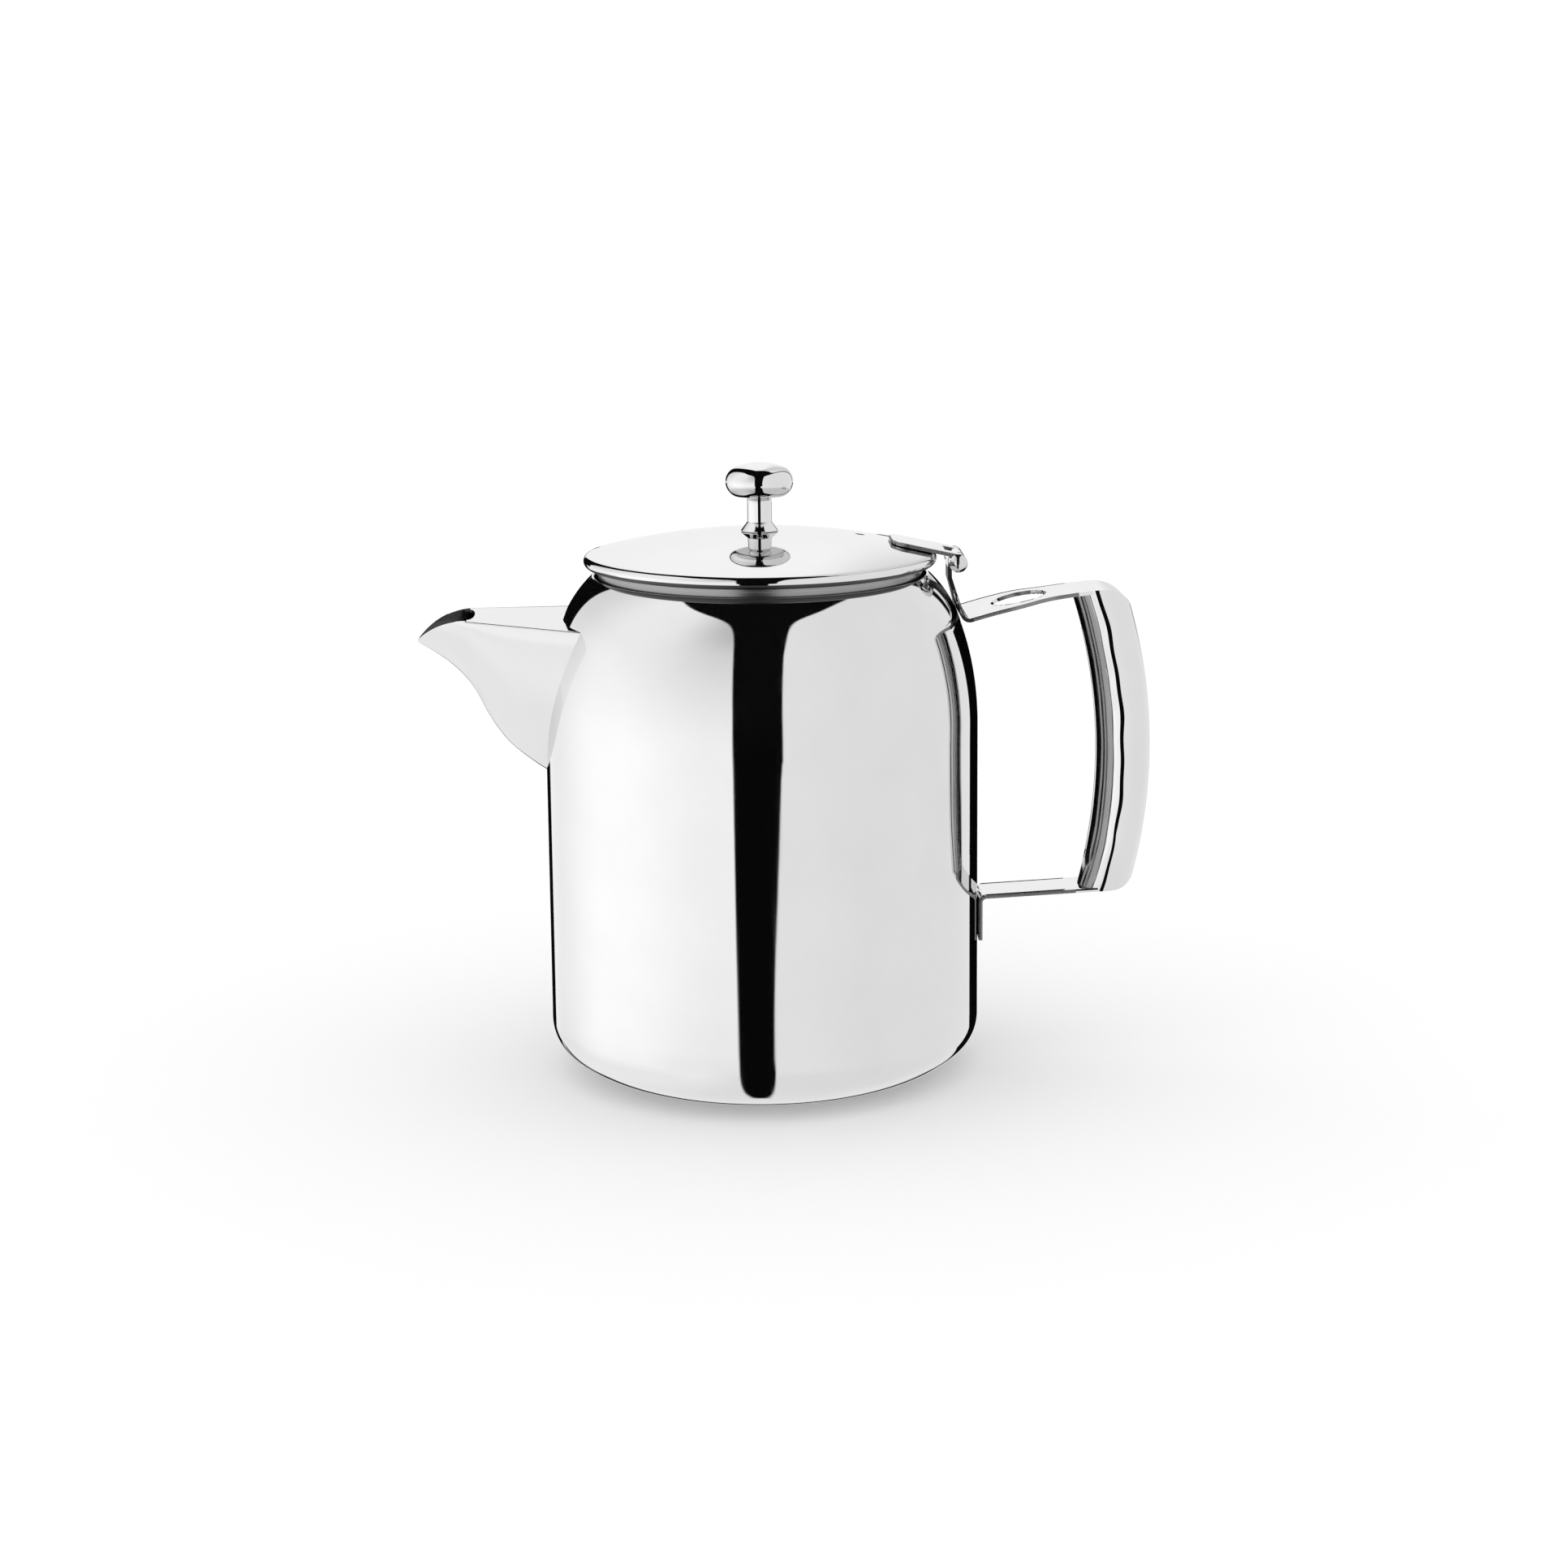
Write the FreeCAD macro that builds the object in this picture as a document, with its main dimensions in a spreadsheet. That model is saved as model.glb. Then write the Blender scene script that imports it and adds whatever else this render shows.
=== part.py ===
import FreeCAD, Part
import Sketcher
import math
import os

Vector = FreeCAD.Vector
Rotation = FreeCAD.Rotation
Placement = FreeCAD.Placement

doc = FreeCAD.newDocument("coffee_pot")


# Driving dimensions, in millimetres (angles in degrees).
DIMENSIONS = [
    ("sheet_metal", 0.8, "wall of body, spout, lid cover and lid ring"),
    ("weld_gap", 0.03, "space left between two welded skins"),
    ("body_radius", 58.0, "straight wall, outside"),
    ("body_wall_top", 94.8, "height where the shoulder starts"),
    ("base_side_round", 10.5, "base corner, by the wall"),
    ("base_floor_round", 27.0, "base corner, by the floor"),
    ("base_round_height", 14.4, "height where the base corner ends"),
    ("shoulder_round", 85.1, "long shoulder arc"),
    ("shoulder_join", 121.8, "height where the shoulder arcs meet"),
    ("neck_round", 31.75, "short arc below the rim"),
    ("rim_height", 135.2, "mouth rim"),
    ("port_top", 119.0, "pouring port in the wall, top"),
    ("port_bottom", 89.0, "pouring port in the wall, bottom"),
    ("port_half", 15.0, "pouring port, half width at its top"),
    ("dome_round", 185.0, "lid dome"),
    ("dome_top", 146.6, "lid dome, highest point"),
    ("lid_radius", 47.0, "lid edge"),
    ("lid_edge_round", 1.6, "rounding of the lid edge"),
    ("lid_return_height", 137.2, "lower end of the turned-in lid edge"),
    ("ring_radius", 43.2, "plug ring, outside"),
    ("ring_bottom", 128.6, "plug ring, lower edge"),
    ("ring_top", 140.3, "plug ring, upper edge"),
    ("vent_radius", 1.3, "steam vent in the lid"),
    ("vent_out", 27.0, "steam vent, towards the hinge"),
    ("vent_side", 5.0, "steam vent, sideways"),
    ("pin_x", 52.3, "hinge axis"),
    ("pin_radius", 1.3, "hinge pin"),
    ("pin_play", 0.05, "radial clearance of the pin in the handle knuckle"),
    ("pin_head_radius", 2.45, "domed heads of the hinge pin"),
    ("pin_head_height", 1.1, "domed heads of the hinge pin"),
    ("strap_slope", 12.5, "fall of the lid strap towards the hinge"),
    ("strap_metal", 1.05, "thickness of the lid strap and the handle strip"),
    ("strap_width", 17.0, "lid strap"),
    ("strap_reach", 18.3, "lid strap, from hinge axis to free end"),
    ("strap_corner", 4.0, "rounded corners of the free end"),
    ("knuckle_width", 7.4, "handle knuckle"),
    ("knuckle_side_gap", 0.3, "side play of the handle knuckle"),
    ("notch_reach", 3.8, "notch in the lid strap"),
    ("leaf_knee", 133.6, "height where the hinge leaf starts to slope"),
    ("bend_x", 53.2, "sharp corner between leaf and upper arm"),
    ("bend_height", 122.5, "sharp corner between leaf and upper arm"),
    ("bend_round", 2.5, "bend between leaf and upper arm"),
    ("leaf_narrow_height", 134.6, "height where the leaf starts to widen"),
    ("leaf_wide_height", 125.0, "height where the leaf is full width"),
    ("leaf_flank_round", 13.0, "hollow flanks of the leaf"),
    ("arm_slope", 0.2845, "rise of the upper arm where it leaves the bend"),
    ("arm_start", 57.5, "start of the upper arm"),
    ("arm_end", 89.0, "end of the upper arm, inside the grip"),
    ("arm_round", 164.0, "camber of the upper arm"),
    ("arm_half", 13.2, "half width of the upper arm by the body"),
    ("arm_taper_start", 65.0, "where the upper arm starts to narrow"),
    ("arm_taper_end", 80.0, "where the curved narrowing ends"),
    ("arm_neck_half", 9.6, "half width of the upper arm there"),
    ("arm_end_half", 8.4, "half width of the upper arm, drawn on past its end"),
    ("slot_centre", 69.1, "oval hole in the upper arm"),
    ("slot_half_length", 7.4, "oval hole in the upper arm"),
    ("slot_half_width", 8.0, "oval hole in the upper arm"),
    ("grip_back", 104.9, "outer line of the grip, furthest point"),
    ("grip_back_height", 86.0, "height of that point"),
    ("grip_back_round", 142.0, "bow of the outer line"),
    ("grip_front", 90.3, "inner line of the grip, furthest point"),
    ("grip_front_height", 85.0, "height of that point"),
    ("grip_front_round", 144.0, "bow of the inner line"),
    ("grip_top", 130.6, "height of the upper end of the grip"),
    ("grip_top_round", 9.4, "upper corner"),
    ("grip_top_half", 9.3, "half width of the grip at its upper end"),
    ("grip_top_blend", 14.0, "length of the narrowing at the upper end"),
    ("grip_bottom", 48.0, "height of the lower end of the grip"),
    ("grip_bottom_round", 6.5, "lower corner"),
    ("grip_bottom_half", 7.15, "half width of the grip at its lower end"),
    ("grip_bottom_blend", 18.0, "length of the narrowing at the lower end"),
    ("grip_half", 9.6, "half width of the grip"),
    ("seam_half", 0.6, "open seam of the rolled grip, half width"),
    ("seam_bottom", 56.0, "open seam, lower end"),
    ("seam_top", 119.0, "open seam, upper end"),
    ("tab_bottom", 34.7, "welded tab of the lower arm"),
    ("tab_half", 7.0, "half width of the tab and the lower arm"),
    ("tab_bend_round", 2.2, "bend between tab and lower arm"),
    ("low_arm_root", 47.35, "upper face of the lower arm by the body"),
    ("low_arm_tip", 48.9, "upper face of the lower arm in the grip"),
    ("low_arm_end", 92.4, "end of the lower arm, inside the grip"),
    ("knob_radius", 9.04, "knob head"),
    ("knob_height", 159.7, "height of the widest part of the knob head"),
    ("knob_side_round", 4.2, "rounded side of the knob head"),
    ("knob_top_round", 18.35, "flattened top of the knob head"),
    ("knob_under", 156.06, "underside of the knob head"),
    ("spigot_radius", 2.2, "stem spigot in the knob head"),
    ("spigot_top", 160.4, "stem spigot, upper end"),
    ("neck_radius", 2.75, "narrow neck under the knob head"),
    ("neck_start", 154.8, "height where the stem narrows"),
    ("stem_radius", 3.27, "knob stem"),
    ("flange_radius", 4.97, "cone foot of the knob stem"),
    ("flange_top", 149.6, "cone foot, upper end"),
    ("flange_lip", 0.3, "upright edge of the cone foot"),
    ("screw_radius", 1.9, "screw thread, outside"),
    ("screw_top", 152.6, "end of the screw"),
    ("screw_hole_radius", 2.15, "hole for the screw in cover and washer"),
    ("screw_head_radius", 3.7, "screw head"),
    ("screw_head_height", 2.3, "screw head"),
    ("screw_slot_half", 0.5, "driver slot, half width"),
    ("screw_slot_depth", 1.1, "driver slot"),
    ("washer_radius", 6.0, "washer under the lid"),
    ("washer_height", 1.0, "washer under the lid"),
    ("washer_top", 145.66, "upper face of the washer"),
    ("lip_start", 77.9, "end of the flat top plate of the spout"),
    ("lip_start_height", 125.25, "height of the lip there"),
    ("lip_end", 92.4, "end of the lip curve, beyond the tip"),
    ("lip_end_height", 117.55, "height of the lip curve there"),
    ("lip_round", 18.0, "curve of the lip seen from the side"),
    ("lip_bite", 1.7, "rounded back of the lip opening"),
    ("lip_bite_half", 8.6, "rounded back of the lip opening, half width"),
    ("plate_rise", 0.05, "rise of the top plate towards the tip"),
    ("plate_height", 121.3, "top plate produced to the body axis"),
]

# Spout stations: distance from the body axis, half width of the top, keel height.
STATIONS = [
    (42.0, 25.4, 75.0),
    (50.0, 22.4, 78.8),
    (57.4, 19.6, 82.5),
    (62.1, 17.8, 85.7),
    (67.5, 15.8, 90.3),
    (71.0, 14.5, 94.8),
    (73.7, 13.5, 99.3),
    (75.9, 12.7, 103.9),
    (78.9, 11.5, 108.3),
    (83.1, 9.7, 112.5),
    (87.4, 7.3, 115.6),
    (91.4, 4.2, 118.0),
]
# The first station beyond the end of the top plate.
LIP_STATION = 8

sheet = doc.addObject("Spreadsheet::Sheet", "dims")
cells = list(DIMENSIONS)
for number, (reach, half, keel) in enumerate(STATIONS):
    cells.append((f"station_reach_{number}", reach, "spout station"))
    cells.append((f"station_half_{number}", half, "spout station, half width"))
    cells.append((f"station_keel_{number}", keel, "spout station, keel height"))
for row, (name, value, note) in enumerate(cells, start=1):
    sheet.set(f"A{row}", name)
    sheet.set(f"B{row}", str(value))
    sheet.set(f"C{row}", note)
    sheet.setAlias(f"B{row}", name)
doc.recompute()


class Size:
    """A number together with the expression that gives it."""

    def __init__(self, number, text):
        self.number = number
        self.text = text

    def __add__(self, other):
        other = as_size(other)
        return Size(self.number + other.number, f"({self.text} + {other.text})")

    def __sub__(self, other):
        other = as_size(other)
        return Size(self.number - other.number, f"({self.text} - {other.text})")

    def __mul__(self, other):
        other = as_size(other)
        return Size(self.number * other.number, f"({self.text} * {other.text})")

    def __truediv__(self, other):
        other = as_size(other)
        return Size(self.number / other.number, f"({self.text} / {other.text})")

    def __neg__(self):
        return Size(-self.number, f"(0 - {self.text})")


def as_size(value):
    if isinstance(value, Size):
        return value
    return Size(float(value), repr(float(value)))


def root(size):
    return Size(math.sqrt(size.number), f"sqrt({size.text})")


def sine(size):
    return Size(math.sin(math.radians(size.number)), f"sin({size.text} * 1 deg)")


def cosine(size):
    return Size(math.cos(math.radians(size.number)), f"cos({size.text} * 1 deg)")


def dim(name):
    """The sheet cell of that name."""
    return Size(float(sheet.get(name)), f"dims.{name}")


def derived(name, size):
    """Keep a computed size in a cell of its own and return that cell."""
    row = len(cells) + 1
    cells.append((name, size.number, "derived"))
    sheet.set(f"A{row}", name)
    sheet.set(f"B{row}", "=" + size.text.replace("dims.", ""))
    sheet.set(f"C{row}", "derived")
    sheet.setAlias(f"B{row}", name)
    return Size(size.number, f"dims.{name}")


ZERO = Size(0.0, "0")


# Points are pairs of sizes; these few helpers combine them.
def plus(a, b):
    return (a[0] + b[0], a[1] + b[1])


def minus(a, b):
    return (a[0] - b[0], a[1] - b[1])


def times(a, k):
    return (a[0] * k, a[1] * k)


def length(a):
    return root(a[0] * a[0] + a[1] * a[1])


def hold(sketch, geometry, end, point):
    """Fix one end of an edge at a point given by the sheet."""
    for kind, axis, size in (("DistanceX", -2, point[0]), ("DistanceY", -1, point[1])):
        if size.text == "0":
            sketch.addConstraint(Sketcher.Constraint("PointOnObject", geometry, end, axis))
            continue
        index = sketch.addConstraint(Sketcher.Constraint(kind, geometry, end, size.number))
        sketch.setExpression(f"Constraints[{index}]", size.text)


def outline(sketch, corners):
    """Draw a closed outline.

    Each corner is (point,) for a straight edge from it to the next corner, or
    (point, radius, turn) for an arc, turn being 1 for left and -1 for right.
    """
    drawn = []
    for number, corner in enumerate(corners):
        start = corner[0]
        stop = corners[(number + 1) % len(corners)][0]
        a = Vector(start[0].number, start[1].number, 0)
        b = Vector(stop[0].number, stop[1].number, 0)
        if len(corner) == 1:
            geometry = sketch.addGeometry(Part.LineSegment(a, b), False)
            drawn.append((geometry, 1, 2))
            continue
        radius, turn = corner[1], corner[2]
        chord = b - a
        side = Vector(-chord.y, chord.x, 0) / chord.Length
        depth = math.sqrt(max(radius.number ** 2 - (chord.Length / 2) ** 2, 0))
        centre = (a + b) / 2 + side * depth * turn
        first, last = (a, b) if turn > 0 else (b, a)
        begin = math.atan2(first.y - centre.y, first.x - centre.x)
        finish = math.atan2(last.y - centre.y, last.x - centre.x)
        circle = Part.Circle(centre, Vector(0, 0, 1), radius.number)
        geometry = sketch.addGeometry(Part.ArcOfCircle(circle, begin, finish), False)
        drawn.append((geometry, 1, 2) if turn > 0 else (geometry, 2, 1))
    for number, corner in enumerate(corners):
        geometry, begin, finish = drawn[number]
        following = drawn[(number + 1) % len(drawn)]
        link = Sketcher.Constraint("Coincident", geometry, finish, following[0], following[1])
        sketch.addConstraint(link)
    for number, corner in enumerate(corners):
        geometry, begin, finish = drawn[number]
        hold(sketch, geometry, begin, corner[0])
        if len(corner) == 3:
            bend = Sketcher.Constraint("Radius", geometry, corner[1].number)
            index = sketch.addConstraint(bend)
            sketch.setExpression(f"Constraints[{index}]", corner[1].text)


def circle(sketch, centre, radius):
    """Draw a full circle whose centre and radius come from the sheet."""
    middle = Vector(centre[0].number, centre[1].number, 0)
    round_edge = Part.Circle(middle, Vector(0, 0, 1), radius.number)
    geometry = sketch.addGeometry(round_edge, False)
    hold(sketch, geometry, 3, centre)
    index = sketch.addConstraint(Sketcher.Constraint("Radius", geometry, radius.number))
    sketch.setExpression(f"Constraints[{index}]", radius.text)


def new_body(name):
    body = doc.addObject("PartDesign::Body", name)
    body.Label = name
    return body


def sketch_in(body, plane, name):
    """A sketch on one of the body's own origin planes."""
    sketch = body.newObject("Sketcher::SketchObject", name)
    support = [item for item in body.Origin.OriginFeatures if item.Role == plane][0]
    sketch.AttachmentSupport = (support, [""])
    sketch.MapMode = "FlatFace"
    return sketch


def side_sketch(name):
    """A free sketch in the XZ plane."""
    sketch = doc.addObject("Sketcher::SketchObject", name)
    sketch.Placement = Placement(Vector(0, 0, 0), Rotation(Vector(1, 0, 0), 90))
    return sketch


def front_sketch(name):
    """A free sketch in the YZ plane."""
    sketch = doc.addObject("Sketcher::SketchObject", name)
    sketch.Placement = Placement(Vector(0, 0, 0), Rotation(Vector(1, 1, 1), 120))
    return sketch


def turned(body, sketch, name):
    """Revolve a sketch about its upright axis."""
    feature = body.newObject("PartDesign::Revolution", name)
    feature.Profile = sketch
    feature.ReferenceAxis = (sketch, ["V_Axis"])
    feature.Angle = 360
    body.Tip = feature
    return feature


def cut_through(body, sketch, name):
    """Cut a sketch through the body in both directions."""
    feature = body.newObject("PartDesign::Pocket", name)
    feature.Profile = sketch
    feature.Type = "ThroughAll"
    feature.SideType = "Symmetric"
    body.Tip = feature
    return feature


def extruded(name, sketch, direction, full_length):
    """Extrude a free sketch equally to both sides."""
    feature = doc.addObject("Part::Extrusion", name)
    feature.Base = sketch
    feature.DirMode = "Custom"
    feature.Dir = direction
    feature.Solid = True
    feature.Symmetric = True
    feature.LengthFwd = full_length.number
    feature.setExpression("LengthFwd", full_length.text)
    return feature


def cut(name, base, tool):
    feature = doc.addObject("Part::Cut", name)
    feature.Base = base
    feature.Tool = tool
    feature.Refine = True
    return feature


def common(name, base, tool):
    feature = doc.addObject("Part::Common", name)
    feature.Base = base
    feature.Tool = tool
    return feature


def fuse(name, shapes):
    feature = doc.addObject("Part::MultiFuse", name)
    feature.Shapes = shapes
    feature.Refine = True
    return feature


def pin_line_cylinder(name, radius, full_length):
    """A cylinder on the hinge axis, centred on the middle plane."""
    feature = doc.addObject("Part::Cylinder", name)
    feature.setExpression("Radius", radius.text)
    feature.setExpression("Height", full_length.text)
    feature.Placement = Placement(Vector(0, 0, 0), Rotation(Vector(1, 0, 0), -90))
    feature.setExpression("Placement.Base.x", "dims.pin_x")
    feature.setExpression("Placement.Base.y", f"0 - {full_length.text} / 2")
    feature.setExpression("Placement.Base.z", "dims.pin_z")
    return feature


SHEET = dim("sheet_metal")
STRIP = dim("strap_metal")

# The hinge axis lies so that the strap, wrapped over the pin, rests on the dome.
dome_centre = dim("dome_top") - dim("dome_round")
strap_line = dim("dome_round") + dim("weld_gap") - dim("pin_radius")
pin_rise = (strap_line - dim("pin_x") * sine(dim("strap_slope"))) / cosine(dim("strap_slope"))
pin_z = derived("pin_z", dome_centre + pin_rise)
knuckle_bore = derived("knuckle_bore", dim("pin_radius") + dim("pin_play"))
knuckle_radius = derived("knuckle_radius", knuckle_bore + STRIP)
strap_outer = derived("strap_outer", dim("pin_radius") + STRIP)
doc.recompute()


# Body: one drawn sheet, floor, wall and shoulder up to the mouth rim.
def body_path(inset):
    """Corners from the floor centre to the rim, drawn inside the outer face by inset."""
    radius = dim("body_radius")
    side, floor = dim("base_side_round"), dim("base_floor_round")
    low = dim("base_round_height")
    spread = floor - side
    drop = floor - low
    side_centre = (radius - side, low)
    floor_centre = (side_centre[0] - root(spread * spread - drop * drop), floor)
    toward = times(minus(side_centre, floor_centre), as_size(1) / spread)
    base_join = plus(floor_centre, times(toward, floor - inset))
    long_arc, short_arc = dim("shoulder_round"), dim("neck_round")
    rise = (dim("shoulder_join") - dim("body_wall_top")) / long_arc
    run = root(as_size(1) - rise * rise)
    long_centre = (radius - long_arc, dim("body_wall_top"))
    top_join = plus(long_centre, times((run, rise), long_arc - inset))
    short_centre = plus(long_centre, times((run, rise), long_arc - short_arc))
    lift = dim("rim_height") - short_centre[1]
    rim_run = root(short_arc * short_arc - lift * lift)
    rim = plus(short_centre, times((rim_run, lift), (short_arc - inset) / short_arc))
    return [
        ((ZERO, inset),),
        ((floor_centre[0], inset), floor - inset, 1),
        (base_join, side - inset, 1),
        ((radius - inset, low),),
        ((radius - inset, dim("body_wall_top")), long_arc - inset, 1),
        (top_join, short_arc - inset, 1),
        (rim,),
    ]


def reversed_path(path):
    """The same corners walked the other way."""
    walked = []
    for number in range(len(path) - 1, 0, -1):
        before = path[number - 1]
        if len(before) == 1:
            walked.append((path[number][0],))
        else:
            walked.append((path[number][0], before[1], -before[2]))
    walked.append((path[0][0],))
    return walked


def build_body_shell():
    body = new_body("body_shell")
    profile = sketch_in(body, "XZ_Plane", "body_profile")
    outer = body_path(ZERO)
    outer[0] = ((ZERO, ZERO),)
    outer[1] = ((outer[1][0][0], ZERO), dim("base_floor_round"), 1)
    outline(profile, outer + reversed_path(body_path(SHEET)))
    turned(body, profile, "body_turned")
    port = sketch_in(body, "YZ_Plane", "port_profile")
    half, top, bottom = dim("port_half"), dim("port_top"), dim("port_bottom")
    low_half = half * 0.45
    low = bottom + half * 0.5
    sag = low - bottom
    low_round = (low_half * low_half + sag * sag) / (sag * 2)
    outline(port, [
        ((-half, top),),
        ((-low_half, low), low_round, 1),
        ((low_half, low),),
        ((half, top),),
    ])
    pocket = body.newObject("PartDesign::Pocket", "port_cut")
    pocket.Profile = port
    pocket.Type = "Length"
    pocket.setExpression("Length", "dims.body_radius + 5")
    body.Tip = pocket
    doc.recompute()
    if pocket.Shape.Solids[0].CenterOfMass.x < 0:
        pocket.Reversed = True
    return body


# Spout: one skin with a flat top plate, a rounded keel and an open lip.
def station_points(number, inset, lift):
    """Section of the spout at one station, left edge over the keel to right edge."""
    reach = float(sheet.get(f"station_reach_{number}"))
    half = float(sheet.get(f"station_half_{number}"))
    keel = float(sheet.get(f"station_keel_{number}"))
    top = float(sheet.get("plate_height")) + float(sheet.get("plate_rise")) * reach
    low = max(number - 1, 0)
    high = min(number + 1, len(STATIONS) - 1)
    climb = float(sheet.get(f"station_keel_{high}")) - float(sheet.get(f"station_keel_{low}"))
    travel = float(sheet.get(f"station_reach_{high}")) - float(sheet.get(f"station_reach_{low}"))
    half = half - inset * 1.06
    top = top - inset + lift
    keel = keel + inset * math.sqrt(1 + (climb / travel) ** 2)
    points = []
    steps = 12
    for step in range(-steps, steps + 1):
        share = abs(step) / steps
        width = half * math.sin(math.pi / 2 * share) * (1 if step > 0 else -1)
        height = 1.12 * share ** 2.1 / (share + 0.12)
        points.append(Vector(-reach, width, keel + (top - keel) * height))
    return points


def spout_skin(name, inset, first=0, lift=0.0):
    """A solid from the first station to the tip, drawn inside the outer skin by inset.

    Its flat top is raised by lift.
    """
    wires = []
    for number in range(first, len(STATIONS)):
        points = station_points(number, inset, lift)
        curve = Part.BSplineCurve()
        curve.interpolate(points)
        flat_top = Part.makeLine(points[-1], points[0])
        wires.append(Part.Wire([curve.toShape(), flat_top]))
    feature = doc.addObject("Part::Feature", name)
    feature.Shape = Part.makeLoft(wires, True, False)
    return feature


def build_spout():
    wall = SHEET.number
    skin = cut("spout_hollow", spout_skin("spout_outside", 0.0), spout_skin("spout_inside", wall))
    channel = spout_skin("lip_channel", wall, LIP_STATION, 4.0)
    skin = cut("spout_channel", skin, channel)
    lip = side_sketch("lip_profile")
    high = dim("lip_start_height") + 12
    outline(lip, [
        ((-dim("lip_start"), dim("lip_start_height")), dim("lip_round"), 1),
        ((-dim("lip_end"), dim("lip_end_height")),),
        ((-dim("lip_end") - 6, dim("lip_end_height")),),
        ((-dim("lip_end") - 6, high),),
        ((-dim("lip_start"), high),),
    ])
    opened = cut("spout_lip", skin, extruded("lip_cut", lip, Vector(0, 1, 0), dim("arm_half") * 4))
    bite = doc.addObject("Part::Ellipse", "bite_edge")
    bite.setExpression("MajorRadius", "dims.lip_bite_half")
    bite.setExpression("MinorRadius", "dims.lip_bite")
    bite.Placement = Placement(Vector(0, 0, 0), Rotation(Vector(0, 0, 1), 90))
    bite.setExpression("Placement.Base.x", "0 - dims.lip_start")
    bite.setExpression("Placement.Base.z", "dims.lip_start_height")
    bite_cut = extruded("bite_cut", bite, Vector(0, 0, 1), SHEET * 5)
    bitten = cut("spout_bitten", opened, bite_cut)
    core = side_sketch("core_profile")
    path = body_path(-dim("weld_gap"))
    outline(core, path + [((ZERO, dim("rim_height")),)])
    solid = doc.addObject("Part::Revolution", "core")
    solid.Source = core
    solid.Axis = Vector(0, 0, 1)
    solid.Angle = 360
    solid.Solid = True
    spout = cut("spout", bitten, solid)
    spout.Label = "spout"
    return spout


# Handle: one strip rolled into the hinge knuckle, bent to the upper arm, rolled into
# the hollow grip and carried back to the body as the lower arm and its welded tab.
def arm_frame():
    """Corner, directions and bend of the leaf and the upper arm."""
    face = dim("pin_x") - knuckle_radius
    knee = (face, dim("leaf_knee"))
    corner = (dim("bend_x"), dim("bend_height"))
    leaf = minus(knee, corner)
    leaf = times(leaf, as_size(1) / length(leaf))
    arm_length = root(dim("arm_slope") * dim("arm_slope") + 1)
    arm = (as_size(1) / arm_length, dim("arm_slope") / arm_length)
    spread = leaf[0] * arm[0] + leaf[1] * arm[1]
    setback = dim("bend_round") * root((spread + 1) / (as_size(1) - spread))
    return face, knee, corner, leaf, arm, setback


def build_leaf():
    face, knee, corner, leaf, arm, setback = arm_frame()
    leaf_side = (leaf[1], -leaf[0])
    arm_side = (-arm[1], arm[0])
    leaf_end = plus(corner, times(leaf, setback))
    arm_begin = plus(corner, times(arm, setback))
    run = (dim("arm_start") - corner[0]) / arm[0]
    arm_start = plus(corner, times(arm, run))
    leaf_end_back = plus(leaf_end, times(leaf_side, STRIP))
    back = face + STRIP
    knee_back = (back, leaf_end_back[1] + (back - leaf_end_back[0]) * leaf[1] / leaf[0])
    sketch = side_sketch("leaf_profile")
    outline(sketch, [
        ((face, pin_z),),
        (knee,),
        (leaf_end, dim("bend_round"), 1),
        (arm_begin,),
        (arm_start,),
        (plus(arm_start, times(arm_side, STRIP)),),
        (plus(arm_begin, times(arm_side, STRIP)), dim("bend_round") - STRIP, -1),
        (leaf_end_back,),
        (knee_back,),
        ((back, pin_z),),
    ])
    strip = extruded("leaf_strip", sketch, Vector(0, 1, 0), dim("arm_half") * 2)
    front = front_sketch("leaf_front")
    narrow = dim("knuckle_width") / 2
    wide = dim("arm_half")
    low = dim("bend_height") - 5
    outline(front, [
        ((-wide, low),),
        ((wide, low),),
        ((wide, dim("leaf_wide_height")), dim("leaf_flank_round"), -1),
        ((narrow, dim("leaf_narrow_height")),),
        ((narrow, pin_z + 5),),
        ((-narrow, pin_z + 5),),
        ((-narrow, dim("leaf_narrow_height")), dim("leaf_flank_round"), -1),
        ((-wide, dim("leaf_wide_height")),),
    ])
    trim = extruded("leaf_trim", front, Vector(1, 0, 0), dim("body_radius") * 4)
    return common("leaf", strip, trim)


def arm_arc():
    """Start of the upper arm's camber, its centre and the two radii of the strip."""
    face, knee, corner, leaf, arm, setback = arm_frame()
    run = (dim("arm_start") - corner[0]) / arm[0]
    start = plus(corner, times(arm, run))
    below = dim("arm_round")
    centre = minus(start, times((-arm[1], arm[0]), below))
    return start, centre, below, below + STRIP


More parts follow.
